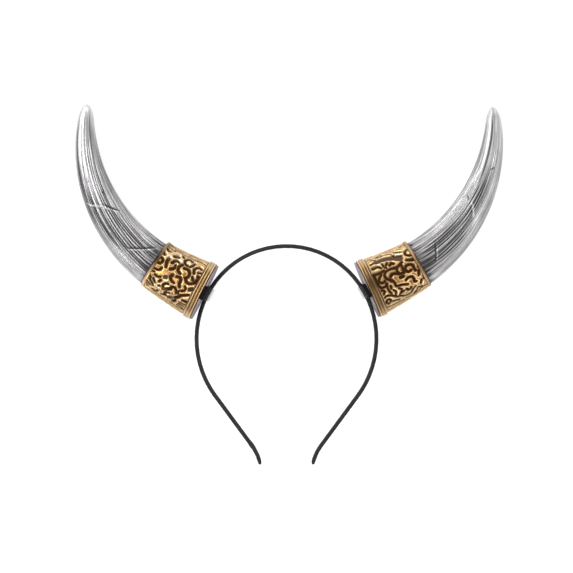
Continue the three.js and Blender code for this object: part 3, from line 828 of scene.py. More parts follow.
def silver_finish(settings):
    """Silver paint with dark wash rubbed into the grooves, and painted shade and painted highlight in its
    wash.
    """
    finish = Finish("silver_paint", {"Specular IOR Level": 0.25})
    straight = finish.vector("straight")
    lines, hairs, streaks, clouds = (
        finish.noise(finish.stretch(straight, scale), 1.0, detail, roughness)
        for scale, detail, roughness in SILVER_PATTERNS.values()
    )
    cloudy = finish.remap(clouds, *NOISE_RANGE)
    tone = finish.mix(cloudy, rgba(settings.silver_colour), rgba(settings.pale_colour))
    along = finish.add("SeparateXYZ", {"Vector": straight}).outputs["Y"]
    tone = finish.mix(finish.remap(along, *PALE_TIP), tone, rgba(settings.tip_colour))
    dark_hairs = finish.remap(hairs, 0.35, 0.62, 0.3, 0.0)
    dark_streaks = finish.remap(streaks, 0.36, 0.56, 0.42, 0.0)
    fine = finish.mix(finish.maths("MAXIMUM", dark_hairs, dark_streaks), tone, rgba(settings.wash_and_shade_colour))
    # The wash attribute holds the dark wash with painted shade, and less of both where a painted highlight
    # stands
    patchy_wash_and_shading = finish.maths("MULTIPLY", finish.value("wash"), finish.remap(lines, 0.3, 0.65, 0.55, 1.15))
    shade = finish.remap(patchy_wash_and_shading, 0.0, 0.75, 0.0, settings.wash_strength)
    finish.colour(finish.mix(shade, fine, rgba(settings.wash_and_shade_colour)))
    finish.feed(finish.shader, {
        "Metallic": finish.remap(patchy_wash_and_shading, 0.0, 1.0, settings.metal, 0.25),
        "Roughness": finish.remap(patchy_wash_and_shading, 0.0, 1.0, settings.roughness, 0.62),
    })
    fine_ridges = finish.remap(hairs, *NOISE_RANGE, 0.0, 0.5)
    ridged = finish.maths("ADD", finish.remap(lines, *NOISE_RANGE), fine_ridges)
    finish.bump(ridged, distance=0.0001, strength=0.25)
    return finish.material


def gold_finish(settings):
    """Antique gold: deep gold on the flats, burnished edges, brown wash in the hollows, and painted shade and
    highlights.
    """
    finish = Finish("antique_gold", {"Specular IOR Level": 0.05})
    place = finish.position()
    clouds = finish.noise(place, scale=150.0, detail=4.0, roughness=0.6)
    grain = finish.noise(place, scale=1400.0, detail=3.0, roughness=0.6)
    wash = finish.value("wash")
    amber_and_shade = finish.value("amber_and_shade")
    thin = finish.remap(clouds, 0.35, 0.65, 1.0, 0.0)
    # Deeper amber towards the middle of each face: the gold's deeper tone and painted shade
    deep = finish.maths("MAXIMUM", thin, finish.maths("MULTIPLY", amber_and_shade, 0.6))
    flat = finish.mix(deep, rgba(settings.gold_colour), rgba(settings.amber_and_shade_colour))
    # The burnish mask paints highlights as well as rubbed gold, and is weaker where the middle of a face is
    # painted in shade
    burnish_and_highlight = finish.maths("MULTIPLY", finish.value("burnish_and_highlight"), finish.remap(amber_and_shade, 0.0, 1.0, 1.0, 0.45))
    rubbed_and_lit = finish.maths("MULTIPLY", burnish_and_highlight, finish.remap(clouds, *PATCH_RANGE, 0.5, 1.0))
    bright = finish.mix(rubbed_and_lit, flat, rgba(settings.burnish_and_highlight_colour))
    brown = finish.remap(clouds, *PATCH_RANGE, 0.55, 1.0)
    # Tarnish browns the gold, and paints shade at the lip and the rim
    tarnish_and_shade = finish.maths("MULTIPLY", finish.value("tarnish_and_shade"), brown)
    worn_and_shaded = finish.mix(tarnish_and_shade, bright, rgba(settings.tarnish_and_shade_colour))
    floor = finish.mix(finish.value("bare"), rgba(settings.wash_and_shade_colour), rgba(settings.bare_colour))
    uneven = finish.maths("MULTIPLY", wash, finish.remap(grain, *PATCH_RANGE, 0.94, 1.0))
    finish.colour(finish.mix(uneven, worn_and_shaded, floor))
    dull = finish.maths("MAXIMUM", wash, finish.maths("MULTIPLY", tarnish_and_shade, 0.7))
    finish.feed(finish.shader, {
        "Metallic": finish.remap(dull, 0.0, 1.0, settings.metal, 0.1),
        "Roughness": finish.remap(dull, 0.0, 1.0, settings.roughness, 0.7),
    })
    finish.bump(grain, distance=0.0001, strength=0.3)
    return finish.material


def plate_finish(settings):
    """Grey moulded plastic, slightly mottled."""
    finish = Finish("grey_plastic", {"Specular IOR Level": 0.4})
    place = finish.position()
    mottle = finish.noise(place, scale=220.0, detail=4.0)
    grain = finish.noise(place, scale=2500.0, detail=2.0)
    dark = rgba(settings.plate_colour, times=0.7)
    finish.colour(finish.mix(finish.remap(mottle, 0.35, 0.65), dark, rgba(settings.plate_colour)))
    finish.feed(finish.shader, {"Roughness": finish.remap(mottle, *NOISE_RANGE, 0.45, 0.6)})
    finish.bump(grain, distance=0.00006, strength=0.4)
    return finish.material


def pad_finish(settings):
    """Black felt."""
    finish = Finish("black_felt", {"Roughness": 0.95, "Specular IOR Level": 0.1, "Sheen Weight": 0.03})
    place = finish.position()
    fibres = finish.noise(place, scale=1800.0, detail=4.0, roughness=0.7)
    tufts = finish.noise(place, scale=420.0)
    pale = rgba(settings.pad_colour, times=3.0)
    finish.colour(finish.mix(finish.remap(fibres, 0.45, 0.8, 0.0, 0.6), rgba(settings.pad_colour), pale))
    finish.bump(finish.maths("ADD", fibres, tufts), distance=0.0003, strength=0.6)
    return finish.material


def strap_finish(settings):
    """Clear plastic that greys what lies behind it, with a faint haze."""
    finish = Finish("clear_plastic", {"Alpha": 0.2, "Specular IOR Level": 0.35})
    haze = finish.noise(finish.position(), scale=180.0, detail=2.0)
    hazy = rgba(settings.strap_colour, times=2.2)
    finish.colour(finish.mix(finish.remap(haze, *NOISE_RANGE), rgba(settings.strap_colour), hazy))
    finish.feed(finish.shader, {"Roughness": finish.remap(haze, *NOISE_RANGE, 0.2, 0.34)})
    return finish.material


# Headband

BAND_TAPER = 4.0
TAPER_POWERS = (2.4, 0.42)
SECTION_POWER = 0.5
# How far the ribbon stands proud of the strip
RIBBON_OUTSIDE, RIBBON_INSIDE = 0.05, 0.32
# A fold in the ribbon near the end of one leg
FOLD_FROM_END = 14.0
FOLD_HALF_LENGTH = 2.2
FOLD_HEIGHT = 0.22


def end_scale(from_end):
    """The band narrows to a rounded point at each end."""
    share = np.clip(from_end / BAND_TAPER, 0, 1)
    steepness, roundness = TAPER_POWERS
    return (1 - (1 - share) ** steepness) ** roundness


def squared(wave):
    """Flattens a sine towards its two ends, for a section with rounded corners."""
    return np.sign(wave) * np.abs(wave) ** SECTION_POWER


def band_mesh(settings):
    """A sheet rolled to a flat tube, wound with lapped turns of ribbon and bent to the band's line."""
    bm = bmesh.new()
    bm.loops.layers.uv.new("cloth")
    steps = round(2 * BAND_HALF / BAND_STEP)
    bmesh.ops.create_grid(bm, x_segments=steps, y_segments=BAND_SIDES, size=0.5, calc_uvs=True)
    grid = bm_points(bm)
    distance = grid[:, 0] * 2 * BAND_HALF
    share = grid[:, 1] + 0.5
    from_end = BAND_HALF - np.abs(distance)
    turn_share = (distance / (settings.ribbon_pitch / MM) + share) % 1
    lap = settings.ribbon_step / MM * (turn_share - 0.5)
    fold = FOLD_HEIGHT * bell(from_end - FOLD_FROM_END, FOLD_HALF_LENGTH) * (distance < 0)
    scale = end_scale(from_end)
    across, deep = np.cos(share * math.tau), np.sin(share * math.tau)
    proud = np.where(across > 0, RIBBON_OUTSIDE, RIBBON_INSIDE)
    outward = squared(across) * (BAND_THICKNESS / 2 + proud + lap + fold) * scale
    forward = squared(deep) * (BAND_WIDTH / 2 + lap) * scale
    x, y, turn = arc_line(BAND_STRETCHES, np.abs(distance), 90)
    x = x - outward * np.cos(turn)
    y = y + outward * np.sin(turn) + CROWN_RADIUS
    move_points(bm, np.column_stack((np.where(distance < 0, -x, x), y, forward)))
    set_layer(bm, "turn", turn_share)
    return to_mesh(bm, "ribbon_band")


# Horns

CRACK_HALF_WIDTH = 0.55
CRACK_LIP = 0.25
CRACK_REACH = 3.0
TIP_RINGS = 24
# Radius of the straightened horn that the paint's patterns lie on
STRAIGHT_RADIUS = 12.0
# Points nearer to the axis than this aren't cut
UNCUT_RADIUS = 0.2

# Grooves: degrees of twist for each millimetre, then limits for what is drawn for each one
GROOVE_TWIST = 0.2
GROOVE_SHIFT = (-0.3, 0.3)
GROOVE_STARTS = (30, 48)
GROOVE_ENDS = (76, 158)
GROOVE_SHARES = (0.8, 1.0)
GROOVE_HALF_WIDTHS = (0.44, 0.62)
GROOVE_WAVES = (0.2, 1.0)
WAVE_LENGTH = 9
# How far before and after its start and its end a groove fades
START_FADE = (-8, 4)
END_FADE = (-14, 6)
# Smoother flanks: angle, half spread and share of the grooves that is lost
SMOOTH_FLANKS = ((-90, 32, 0.8), (90, 30, 0.4))

# Dark wash: share in a groove, and how much more of it where the stains and painted shade are charted, and
# how much less where they are rubbed off as painted highlight
GROOVE_WASH = 0.7
STAINED_WASH = 0.6
RUBBED_WASH = 0.8
# Share of the stains and painted shade that lies on flats, and how much less where there are grooves
FLAT_WASH = 0.65
GROOVED_LOSS = 0.4
# Distances between which the grooves set in and between which many of them end, and how many end
GROOVED_FROM = (37, 49)
SPARSE_FROM = (80, 105)
SPARSE_LOSS = 0.7
# Wash in a crack, strong enough to fill it to its edges
CRACK_WASH = 1.5


def horn_radius(distance):
    """Radius from the mouth to the tip: a curve through three radii, closed by a round tip."""
    share = np.clip((distance - COLLAR_LENGTH) / (HORN_END - COLLAR_LENGTH), 0, 1)
    body = MOUTH_RADIUS * (1 - share) * (1 - 2 * share)
    body = body + 4 * MIDDLE_RADIUS * share * (1 - share) + TIP_RADIUS * share * (2 * share - 1)
    to_tip = np.clip((HORN_END - distance) / TIP_ROUND, 0, 1)
    return body * np.sqrt(1 - (1 - to_tip) ** 2)


def horn_profile():
    shoulder = COLLAR_LENGTH + GAP
    plug_start = COLLAR_LENGTH - PLUG_DEPTH
    tip_start = HORN_END - TIP_ROUND
    body = np.linspace(shoulder, tip_start, HORN_RINGS - TIP_RINGS)
    tip = tip_start + TIP_ROUND * np.sin(np.linspace(0, math.pi / 2, TIP_RINGS + 1)[1:])
    outside = [(horn_radius(distance), distance) for distance in (*body, *tip)]
    plug = [
        (0, plug_start),
        (PLUG_RADIUS - GAP, plug_start),
        (PLUG_RADIUS, plug_start + GAP),
        (PLUG_RADIUS, shoulder - GAP),
        (PLUG_RADIUS + GAP, shoulder),
    ]
    return plug + outside


def groove_share(angle):
    """How much of the grooves is left at each angle: less on the two flanks."""
    left = np.ones_like(angle)
    for middle, half_spread, lost in SMOOTH_FLANKS:
        left = left * (1 - lost * bell(turned_from(angle, middle), half_spread))
    return left


def groove_field(settings, distance, angle, radius):
    """How deep the lengthwise grooves are at each point, from 0 to 1. They differ in place, width and length,
    and turn slowly round the horn."""
    random = np.random.default_rng(GROOVE_SEED)
    count = settings.groove_count
    field = np.zeros_like(distance)
    for index in range(count):
        place = 360 / count * (index + random.uniform(*GROOVE_SHIFT))
        start, end = random.uniform(*GROOVE_STARTS), random.uniform(*GROOVE_ENDS)
        depth, half_width = random.uniform(*GROOVE_SHARES), random.uniform(*GROOVE_HALF_WIDTHS)
        wave, phase = random.uniform(*GROOVE_WAVES), random.uniform(0, math.tau)
        sway = wave * np.sin(distance / WAVE_LENGTH + phase)
        middle = place + GROOVE_TWIST * (distance - COLLAR_LENGTH) + sway
        apart = turned_from(angle, middle) * np.radians(1) * radius
        begun = ease(distance - start, *START_FADE)
        ended = ease(distance - end, *END_FADE)
        field = np.maximum(field, depth * begun * (1 - ended) * bell(apart, half_width))
    return field * groove_share(angle)


def stain_field(chart, distance, angle):
    """How strong the stains of a chart are at each point: up to 1, and below 0 where they are rubbed off."""
    clean = np.ones_like(distance)
    for face, rows in chart.items():
        for at, face_angle, half_length, half_spread, strength in rows:
            ((at, place),) = on_face(face, ((at, face_angle),))
            clean = clean * (1 - strength * blot(distance, angle, at, place, half_length, half_spread))
    return 1 - clean


def crack_fields(distance, angle, radius):
    """The cracks: how deep they are and how high their lower lips stand, from 0 to 1."""
    depth = np.zeros_like(distance)
    lip = np.zeros_like(distance)
    for face, rows in CRACKS.items():
        for full_depth, full_lip, *points in rows:
            line = on_face(face, points)
            which, apart, share, side = to_stroke(distance, angle, radius, line, CRACK_REACH)
            taper = np.sqrt(np.clip(4 * share * (1 - share), 0, 1))
            lower = apart * side - 2 * CRACK_HALF_WIDTH
            cut = full_depth * taper * bell(apart, CRACK_HALF_WIDTH)
            edge = full_lip * taper * bell(lower, CRACK_HALF_WIDTH)
            depth[which] = np.maximum(depth[which], cut)
            lip[which] = np.maximum(lip[which], edge)
    return depth, lip


def horn_wash_and_shading(distance, angle, groove, crack, lip):
    """How much dark wash and painted shade lie at each point of the horn, from 0 to 1."""
    stain_and_shading = stain_field(STAINS_AND_SHADING, distance, angle)
    kept = GROOVE_WASH + np.where(stain_and_shading > 0, STAINED_WASH, RUBBED_WASH) * stain_and_shading
    lines = groove * np.clip(kept, 0, 1)
    sparse = 1 - SPARSE_LOSS * ease(distance, *SPARSE_FROM)
    grooved = groove_share(angle) * ease(distance, *GROOVED_FROM) * sparse
    flat = (FLAT_WASH - GROOVED_LOSS * grooved) * stain_and_shading
    return np.clip(np.maximum((lines + flat) * (1 - lip), CRACK_WASH * crack), 0, 1)


def horn_mesh(settings):
    """One casting of the horn, bent along its line, with its plug."""
    bm = spin_profile(horn_profile(), HORN_SIDES)
    points = bm_points(bm)
    distance = points[:, 1]
    angle, radius = round_axis(points)
    angle = angle + GROOVE_TWIST * (distance - COLLAR_LENGTH)
    turned = np.radians(angle)
    points = np.column_stack((radius * np.sin(turned), distance, radius * np.cos(turned)))
    outside = distance > COLLAR_LENGTH + 2 * GAP
    fade = np.minimum(horn_radius(distance) / MIDDLE_RADIUS, 1) * outside
    flute = FLUTE_DEPTH * (1 - np.cos(np.radians(FLUTES * angle))) / 2
    groove = groove_field(settings, distance, angle, radius) * fade
    crack, lip = crack_fields(distance, angle, radius)
    sunk = flute * fade + settings.groove_depth / MM * groove
    sunk = sunk + (settings.crack_depth / MM * crack - CRACK_LIP * lip) * outside
    scale = np.where(radius > UNCUT_RADIUS, 1 - sunk / np.maximum(radius, UNCUT_RADIUS), 1)
    move_points(bm, bend_along_horn(widened(points, scale)))
    straight = (STRAIGHT_RADIUS * np.sin(turned), distance, STRAIGHT_RADIUS * np.cos(turned))
    # The wash attribute: dark wash, painted shade and, where it is rubbed off, painted highlight
    set_layer(bm, "wash", horn_wash_and_shading(distance, angle, groove, crack, lip))
    set_vector_layer(bm, "straight", np.column_stack(straight))
    return to_mesh(bm, "silver_horn")


# Collars

# Beads round the rim: height, half width and share of the full ridge
RIM_BEADS = ((0.6, 0.55, 1.0), (2.4, 0.8, 0.85), (4.25, 0.5, 1.0))
RIM_FLOOR = 0.6
# Heights between which the scrollwork lies, and how far from a hollow it is flat
ORNAMENT_START = 5.3
ORNAMENT_END = 34.4
FLAT_DISTANCE = 2.0
# How far from a stroke it is looked for, and how much wider the hollows of the faces are than charted
STROKE_REACH = 2.6
HOLLOW_GROWTH = 0.55
# Swelling of the lip: how far it stands out, and the height, angle, half length and half spread of its blot
LIP_SWELL = 0.8
LIP_BULGE = (35.2, 80.0, 1.6, 24.0)
# Distances from the edge of a hollow between which its wash ends, and the place and width of its bright edge,
# which is burnished gold that also stands in as a painted highlight along the scroll
WASH_END = (-0.35, 0.5)
BRIGHT_EDGE = 0.5
BRIGHT_HALF_WIDTH = 0.28
# Widths of hollow between which the floor goes bare
BARE_WIDTHS = (2.45, 2.75)
# Wash beside the beads of the rim and the lip: its strength, where a bead ends it, and how much is lost
# on the flanks, which begin between two sines of the angle, and where the gold has gone brown and shade is
# painted
CHANNEL_WASH = 0.9
CHANNEL_END = (0.35, 0.95)
FLANK_SINES = (0.6, 0.85)
FLANK_LOSS = 0.7
TARNISH_LOSS = 0.6
# Shares of a bead's height between which its top is burnished, which also stands in as its painted highlight
BRIGHT_BEAD = (0.7, 1.0)


def collar_radius(height):
    share = np.clip(1 - height / COLLAR_LENGTH, 0, 1)
    return COLLAR_NARROW + (COLLAR_WIDE - COLLAR_NARROW) * share**COLLAR_FLARE


def bore_radius(height):
    return BORE_WIDE + (BORE_NARROW - BORE_WIDE) * height / COLLAR_LENGTH


def collar_profile():
    steps = round(COLLAR_LENGTH / COLLAR_STEP)
    outside = [(collar_radius(height), height) for height in np.linspace(0, COLLAR_LENGTH, steps + 1)]
    inside = [(bore_radius(height), height) for height in np.linspace(COLLAR_LENGTH, 0, BORE_RINGS)]
    return [*outside, *inside, outside[0]]


def all_hollows():
    """Every hollow as a soft line round the casting, with its two widths."""
    for face, rows in HOLLOWS.items():
        for start_width, end_width, *points in rows:
            yield smooth_line(on_face(face, points)), start_width + HOLLOW_GROWTH, end_width + HOLLOW_GROWTH
    for middle, way in FLANKS:
        for start_width, end_width, *points in VINE:
            around = [(height, middle + way * angle) for height, angle in points]
            yield smooth_line(around), start_width, end_width


def hollow_fields(height, angle):
    """How far each point lies outside the nearest hollow, and how wide that hollow is."""
    outside = np.minimum(np.minimum(height - ORNAMENT_START, ORNAMENT_END - height), FLAT_DISTANCE)
    wide = np.zeros_like(height)
    radii = np.full_like(height, UNROLL_RADIUS)
    for line, start_width, end_width in all_hollows():
        which, apart, share, side = to_stroke(height, angle, radii, line, STROKE_REACH)
        width = start_width + (end_width - start_width) * share
        clear = apart - width / 2
        closer = clear < outside[which]
        outside[which] = np.where(closer, clear, outside[which])
        wide[which] = np.where(closer, width, wide[which])
    return outside, wide


def paint_collar(bm, height, angle, clear, wide, beads):
    """Keeps what the gold needs at each point: wash, tarnished and deeper gold, each with painted shade,
    burnished gold with painted highlights, and the bare floor.
    """
    ornament = (height >= ORNAMENT_START) & (height <= ORNAMENT_END)
    # Tarnish also paints shade at the lip and the rim
    tarnish_and_shade = stain_field(TARNISH_AND_SHADE, height, angle)
    # The cream chart paints highlights, with gold rubbed to a cream
    cream_and_highlights = stain_field(CREAM_AND_HIGHLIGHTS, height, angle)
    flank = ease(np.abs(np.sin(np.radians(angle))), *FLANK_SINES)
    channel = (1 - FLANK_LOSS * flank) * (1 - TARNISH_LOSS * tarnish_and_shade**2) * (1 - ease(beads, *CHANNEL_END))
    wash = np.where(ornament, 1 - ease(clear, *WASH_END), CHANNEL_WASH * channel)
    edge = np.where(ornament, bell(clear - BRIGHT_EDGE, BRIGHT_HALF_WIDTH), ease(beads, *BRIGHT_BEAD))
    # The wash attribute also takes painted shade at the lip and the rim from the grime chart
    set_layer(bm, "wash", np.maximum(stain_field(GRIME_AND_SHADE, height, angle), wash))
    set_layer(bm, "tarnish_and_shade", tarnish_and_shade)
    # Amber paints shade towards the middle of each face
    set_layer(bm, "amber_and_shade", stain_field(AMBER_AND_SHADE, height, angle))
    # Painted highlights: the cream chart and the bright edges, with burnished gold
    set_layer(bm, "burnish_and_highlight", np.maximum(cream_and_highlights, edge))
    set_layer(bm, "bare", ornament * ease(wide, *BARE_WIDTHS) * (clear < 0))


def collar_mesh(settings):
    """One casting of the collar, with its ridged rim, scrollwork and lip, bent along the horn's line."""
    bm = spin_profile(collar_profile(), COLLAR_SIDES)
    points = bm_points(bm)
    height = points[:, 1]
    angle, radius = round_axis(points)
    ground = collar_radius(height)
    shell = radius > (ground + bore_radius(height)) / 2
    clear, wide = hollow_fields(height, angle)
    round_off = np.clip(clear / (settings.edge_round / MM), 0, 1)
    relief = settings.relief_height / MM * np.sqrt(1 - (1 - round_off) ** 2)
    rim_bead = np.max([share * bead(height, at, half) for at, half, share in RIM_BEADS], axis=0)
    rim_drop = ease(height, RIM_WIDTH, RIM_WIDTH + 2 * GAP)
    rim = (RIM_RIDGE - RIM_FLOOR + RIM_FLOOR * rim_bead) * (1 - rim_drop) + ground * rim_drop
    lip_bead = bead(height, COLLAR_LENGTH - LIP_WIDTH / 2, LIP_WIDTH / 2 + GAP)
    lip = ground + (LIP_RADIUS - COLLAR_NARROW) * lip_bead
    outer = np.where(height < ORNAMENT_START, rim, np.where(height > ORNAMENT_END, lip, ground + relief))
    outer = outer + LIP_SWELL * blot(height, angle, *LIP_BULGE)
    scale = np.where(shell, outer, radius) / radius
    move_points(bm, bend_along_horn(widened(points, scale)))
    beads = np.where(height < ORNAMENT_START, rim_bead * (1 - rim_drop), lip_bead)
    paint_collar(bm, height, angle, clear, wide, beads)
    return to_mesh(bm, "gold_collar")


# Base plates, pads and straps, in axes with X along the band, Y along the horn and Z across the band

PLATE_BACK = -GAP - PLATE_THICKNESS
BAND_OUTSIDE = CROWN_RADIUS + BAND_THICKNESS / 2 - SEAT_RADIUS


def plate_mesh(settings):
    bm = bmesh.new()
    lie = Matrix.Translation((0, PLATE_BACK + PLATE_THICKNESS / 2, 0)) @ Matrix.Rotation(math.pi / 2, 4, "X")
    bmesh.ops.create_cone(
        bm,
        cap_ends=True,
        segments=PLATE_SIDES,
        radius1=PLATE_RADIUS,
        radius2=PLATE_RADIUS,
        depth=PLATE_THICKNESS,
        matrix=lie,
    )
    rims = [edge for edge in bm.edges if any(len(face.verts) > 4 for face in edge.link_faces)]
    round_edges(bm, rims, settings)
    return to_mesh(bm, "grey_plate")


def along_band(section, length, settings, name):
    """Extrudes a section of (depth, axis) points along the band and rounds its edges."""
    bm = bmesh.new()
    verts = [bm.verts.new((-length / 2, axis, depth)) for depth, axis in section]
    face = bm.faces.new(verts)
    made = bmesh.ops.extrude_face_region(bm, geom=[face])["geom"]
    far = [item for item in made if isinstance(item, bmesh.types.BMVert)]
    bmesh.ops.translate(bm, verts=far, vec=(length, 0, 0))
    round_edges(bm, bm.edges[:], settings)
    return to_mesh(bm, name)


def round_edges(bm, edges, settings):
    bmesh.ops.bevel(
        bm,
        geom=edges,
        offset=settings.edge_round / MM,
        affect="EDGES",
        segments=BEVEL_SEGMENTS,
        profile=0.5,
        material=-1,
    )


def fixing_slack(side):
    """Room that the slope between the plate and the band takes."""
    angle, heading, turn = SEATS[side]
    return PAD_LENGTH / 2 * math.tan(math.radians(abs(heading - angle)))


def pad_mesh(settings, side, toward):
    """A pad beside the band that turns over the edge of the plate."""
    near = BAND_WIDTH / 2 + GAP
    far = PLATE_RADIUS + GAP + PAD_EDGE
    top = -GAP - fixing_slack(side)
    seat = PLATE_BACK - GAP - fixing_slack(side)
    inside = BAND_OUTSIDE - BAND_THICKNESS * PAD_REACH
    section = (
        (near, seat),
        (near, inside),
        (PAD_SHOULDER, inside),
        (PAD_SHOULDER + PAD_SLOPE, seat - PAD_BACK),
        (far, seat - PAD_BACK),
        (far, top),
        (far - PAD_EDGE, top),
        (far - PAD_EDGE, seat),
    )
    return along_band([(toward * depth, axis) for depth, axis in section], PAD_LENGTH, settings, "black_pad")


def strap_mesh(settings, side):
    """A strap round the inside of the band and the raised part of both pads."""
    reach = PAD_SHOULDER + PAD_SLOPE + GAP
    foot = PLATE_BACK - 2 * GAP - fixing_slack(side) - PAD_BACK
    under = BAND_OUTSIDE - BAND_THICKNESS - 2 * GAP
    outer = reach + STRAP_THICKNESS
    section = (
        (-outer, foot),
        (-outer, under - STRAP_THICKNESS),
        (outer, under - STRAP_THICKNESS),
        (outer, foot),
        (reach, foot),
        (reach, under),
        (-reach, under),
        (-reach, foot),
    )
    return along_band(section, STRAP_LENGTH, settings, "clear_strap")


# Settings


def colour_setting(name, description, default):
    return FloatVectorProperty(
        name=name, description=description, subtype="COLOR", min=0.0, max=1.0, default=default
    )


def size_setting(name, description, default):
    return FloatProperty(name=name, description=description, subtype="DISTANCE", min=0.0, default=default)


def share_setting(name, description, default):
    return FloatProperty(
        name=name, description=description, subtype="FACTOR", min=0.0, max=1.0, default=default
    )


class BandSettings(bpy.types.PropertyGroup):
    """Ribbon of the headband"""

    ribbon_colour: colour_setting("Ribbon colour", "Colour of the ribbon", (0.011, 0.0105, 0.011))
    ribbon_pitch: size_setting("Ribbon pitch", "Distance from one turn of the ribbon to the next", 0.0057)
    ribbon_step: size_setting("Ribbon step", "Height of the edge where a turn laps over the last", 0.00007)
    rib_pitch: size_setting("Rib pitch", "Distance between the woven ribs of the ribbon", 0.00042)


class HornSettings(bpy.types.PropertyGroup):
    """Silver horns"""

    silver_colour: colour_setting("Silver", "Colour of the silver paint", (0.5, 0.49, 0.5))
    pale_colour: colour_setting("Pale silver", "Colour of the paint where it is rubbed", (0.74, 0.73, 0.74))
    tip_colour: colour_setting("Tip", "Colour of the rubbed tips", (0.83, 0.82, 0.83))
    # The wash colour also paints the horn's shade
    wash_and_shade_colour: colour_setting("Wash", "Colour of the dark wash in the grooves", (0.022, 0.02, 0.021))
    wash_strength: share_setting("Wash strength", "How much the wash covers in the grooves", 0.97)
    metal: share_setting("Metal", "How metallic the paint is", 0.92)
    roughness: share_setting("Roughness", "Roughness of the bare paint", 0.38)
    groove_count: IntProperty(
        name="Grooves", description="Number of grooves round the horn", min=8, default=52
    )
    groove_depth: size_setting("Groove depth", "Depth of the deepest groove", 0.0006)
    crack_depth: size_setting("Crack depth", "Depth of the cracks across the grooves", 0.0007)


class CollarSettings(bpy.types.PropertyGroup):
    """Antique gold collars"""

    gold_colour: colour_setting("Gold", "Colour of the flats", (0.63, 0.37, 0.125))
    # The amber colour also paints shade towards the middle of each face
    amber_and_shade_colour: colour_setting("Amber", "Colour of the flats where the paint is thin", (0.42, 0.19, 0.045))
    # The burnish colour also paints highlights
    burnish_and_highlight_colour: colour_setting("Burnish", "Colour of the rubbed edges", (0.85, 0.69, 0.44))
    # The wash colour also paints shade at the lip and the rim
    wash_and_shade_colour: colour_setting("Wash", "Colour of the wash in the hollows", (0.02, 0.007, 0.0015))
    bare_colour: colour_setting("Bare floor", "Colour of the widest hollows", (0.07, 0.045, 0.036))
    # The tarnish colour also paints shade at the lip and the rim
    tarnish_and_shade_colour: colour_setting("Tarnish", "Colour of the gold that has gone brown", (0.13, 0.078, 0.043))
    metal: share_setting("Metal", "How metallic the paint is", 0.92)
    roughness: share_setting("Roughness", "Roughness of the bare paint", 0.3)
    relief_height: size_setting("Relief", "Height of the scrolls above their ground", 0.0011)
    edge_round: size_setting("Rounding", "Width over which the scrolls round off", 0.0011)


class FixingSettings(bpy.types.PropertyGroup):
    """Base plates, pads and straps"""

    plate_colour: colour_setting("Plate", "Colour of the base plates", (0.22, 0.19, 0.205))
    pad_colour: colour_setting("Pad", "Colour of the pads", (0.003, 0.003, 0.003))
    strap_colour: colour_setting("Strap", "Tint of the clear straps", (0.05, 0.05, 0.052))
    edge_round: size_setting("Rounding", "Rounding of the edges", 0.00025)


class StageSettings(bpy.types.PropertyGroup):
    """Floor, lights and camera"""

    floor_colour: colour_setting("Floor", "Colour of the floor", (0.3, 0.3, 0.3))
    floor_glow: FloatProperty(
        name="Floor glow", description="Light that the lit table gives", min=0.0, default=0.8
    )
    sky: FloatProperty(name="Sky", description="Strength of the even light all round", min=0.0, default=0.32)
    light_power: FloatProperty(
        name="Light power", description="Power of the main light", subtype="POWER", min=0.0, default=12.0
    )


class HeadbandSettings(bpy.types.PropertyGroup):
    """Everything that a user would change"""

    band: PointerProperty(type=BandSettings)
    horn: PointerProperty(type=HornSettings)
    collar: PointerProperty(type=CollarSettings)
    fixing: PointerProperty(type=FixingSettings)
    stage: PointerProperty(type=StageSettings)


# Operators


class HEADBAND_OT_band(bpy.types.Operator):
    """Winds the headband in ribbon"""

    bl_idname = "headband.band"
    bl_label = "Headband"

    def execute(self, context):
        settings = context.scene.headband.band
        mesh = placed(band_mesh(settings), PLANE)
        add_piece("ribbon_band", mesh, ribbon_finish(settings), "headband")
        return {"FINISHED"}


class HEADBAND_OT_horns(bpy.types.Operator):
    """Casts both horns and paints them silver"""

    bl_idname = "headband.horns"
    bl_label = "Horns"

    def execute(self, context):
        settings = context.scene.headband.horn
        add_castings("silver_horn", horn_mesh(settings), silver_finish(settings), "horn")
        return {"FINISHED"}


class HEADBAND_OT_collars(bpy.types.Operator):
    """Casts both collars and gilds them"""

    bl_idname = "headband.collars"
    bl_label = "Collars"

    def execute(self, context):
        settings = context.scene.headband.collar
        add_castings("gold_collar", collar_mesh(settings), gold_finish(settings), "collar")
        return {"FINISHED"}


class HEADBAND_OT_plates(bpy.types.Operator):
    """Closes the collars with base plates"""

    bl_idname = "headband.plates"
    bl_label = "Base plates"

    def execute(self, context):
        settings = context.scene.headband.fixing
        add_castings("grey_plate", plate_mesh(settings), plate_finish(settings), "base_plate")
        return {"FINISHED"}


class HEADBAND_OT_pads(bpy.types.Operator):
    """Lays the black pads between the base plates and the band"""

    bl_idname = "headband.pads"
    bl_label = "Pads"

    def execute(self, context):
        settings = context.scene.headband.fixing
        finish = pad_finish(settings)
        for side, (angle, heading, turn) in SEATS.items():
            for place, forward in (("front", 1), ("back", -1)):
                toward = forward if turn == 0 else -forward
                mesh = placed(pad_mesh(settings, side, toward), fixing_matrix(side))
                pad = add_piece(f"black_pad_{place}_{side}", mesh, finish, f"pad_{place}_{side}")
        return {"FINISHED"}


class HEADBAND_OT_straps(bpy.types.Operator):
    """Passes the clear straps round the inside of the band"""

    bl_idname = "headband.straps"
    bl_label = "Straps"

    def execute(self, context):
        settings = context.scene.headband.fixing
        finish = strap_finish(settings)
        for side in SEATS:
            mesh = placed(strap_mesh(settings, side), fixing_matrix(side))
            add_piece(f"clear_tape_{side}", mesh, finish, f"clear_strap_{side}")
        return {"FINISHED"}


# Stage

FLOOR_HALF = 12.0
TARGET_HEIGHT = CROWN_RADIUS + BAND_THICKNESS / 2 - (FRAME_PIXELS / 2 - CROWN_TOP_PIXEL) * MM_PER_PIXEL
TARGET = PLANE @ Vector((0, TARGET_HEIGHT, 0)) * MM

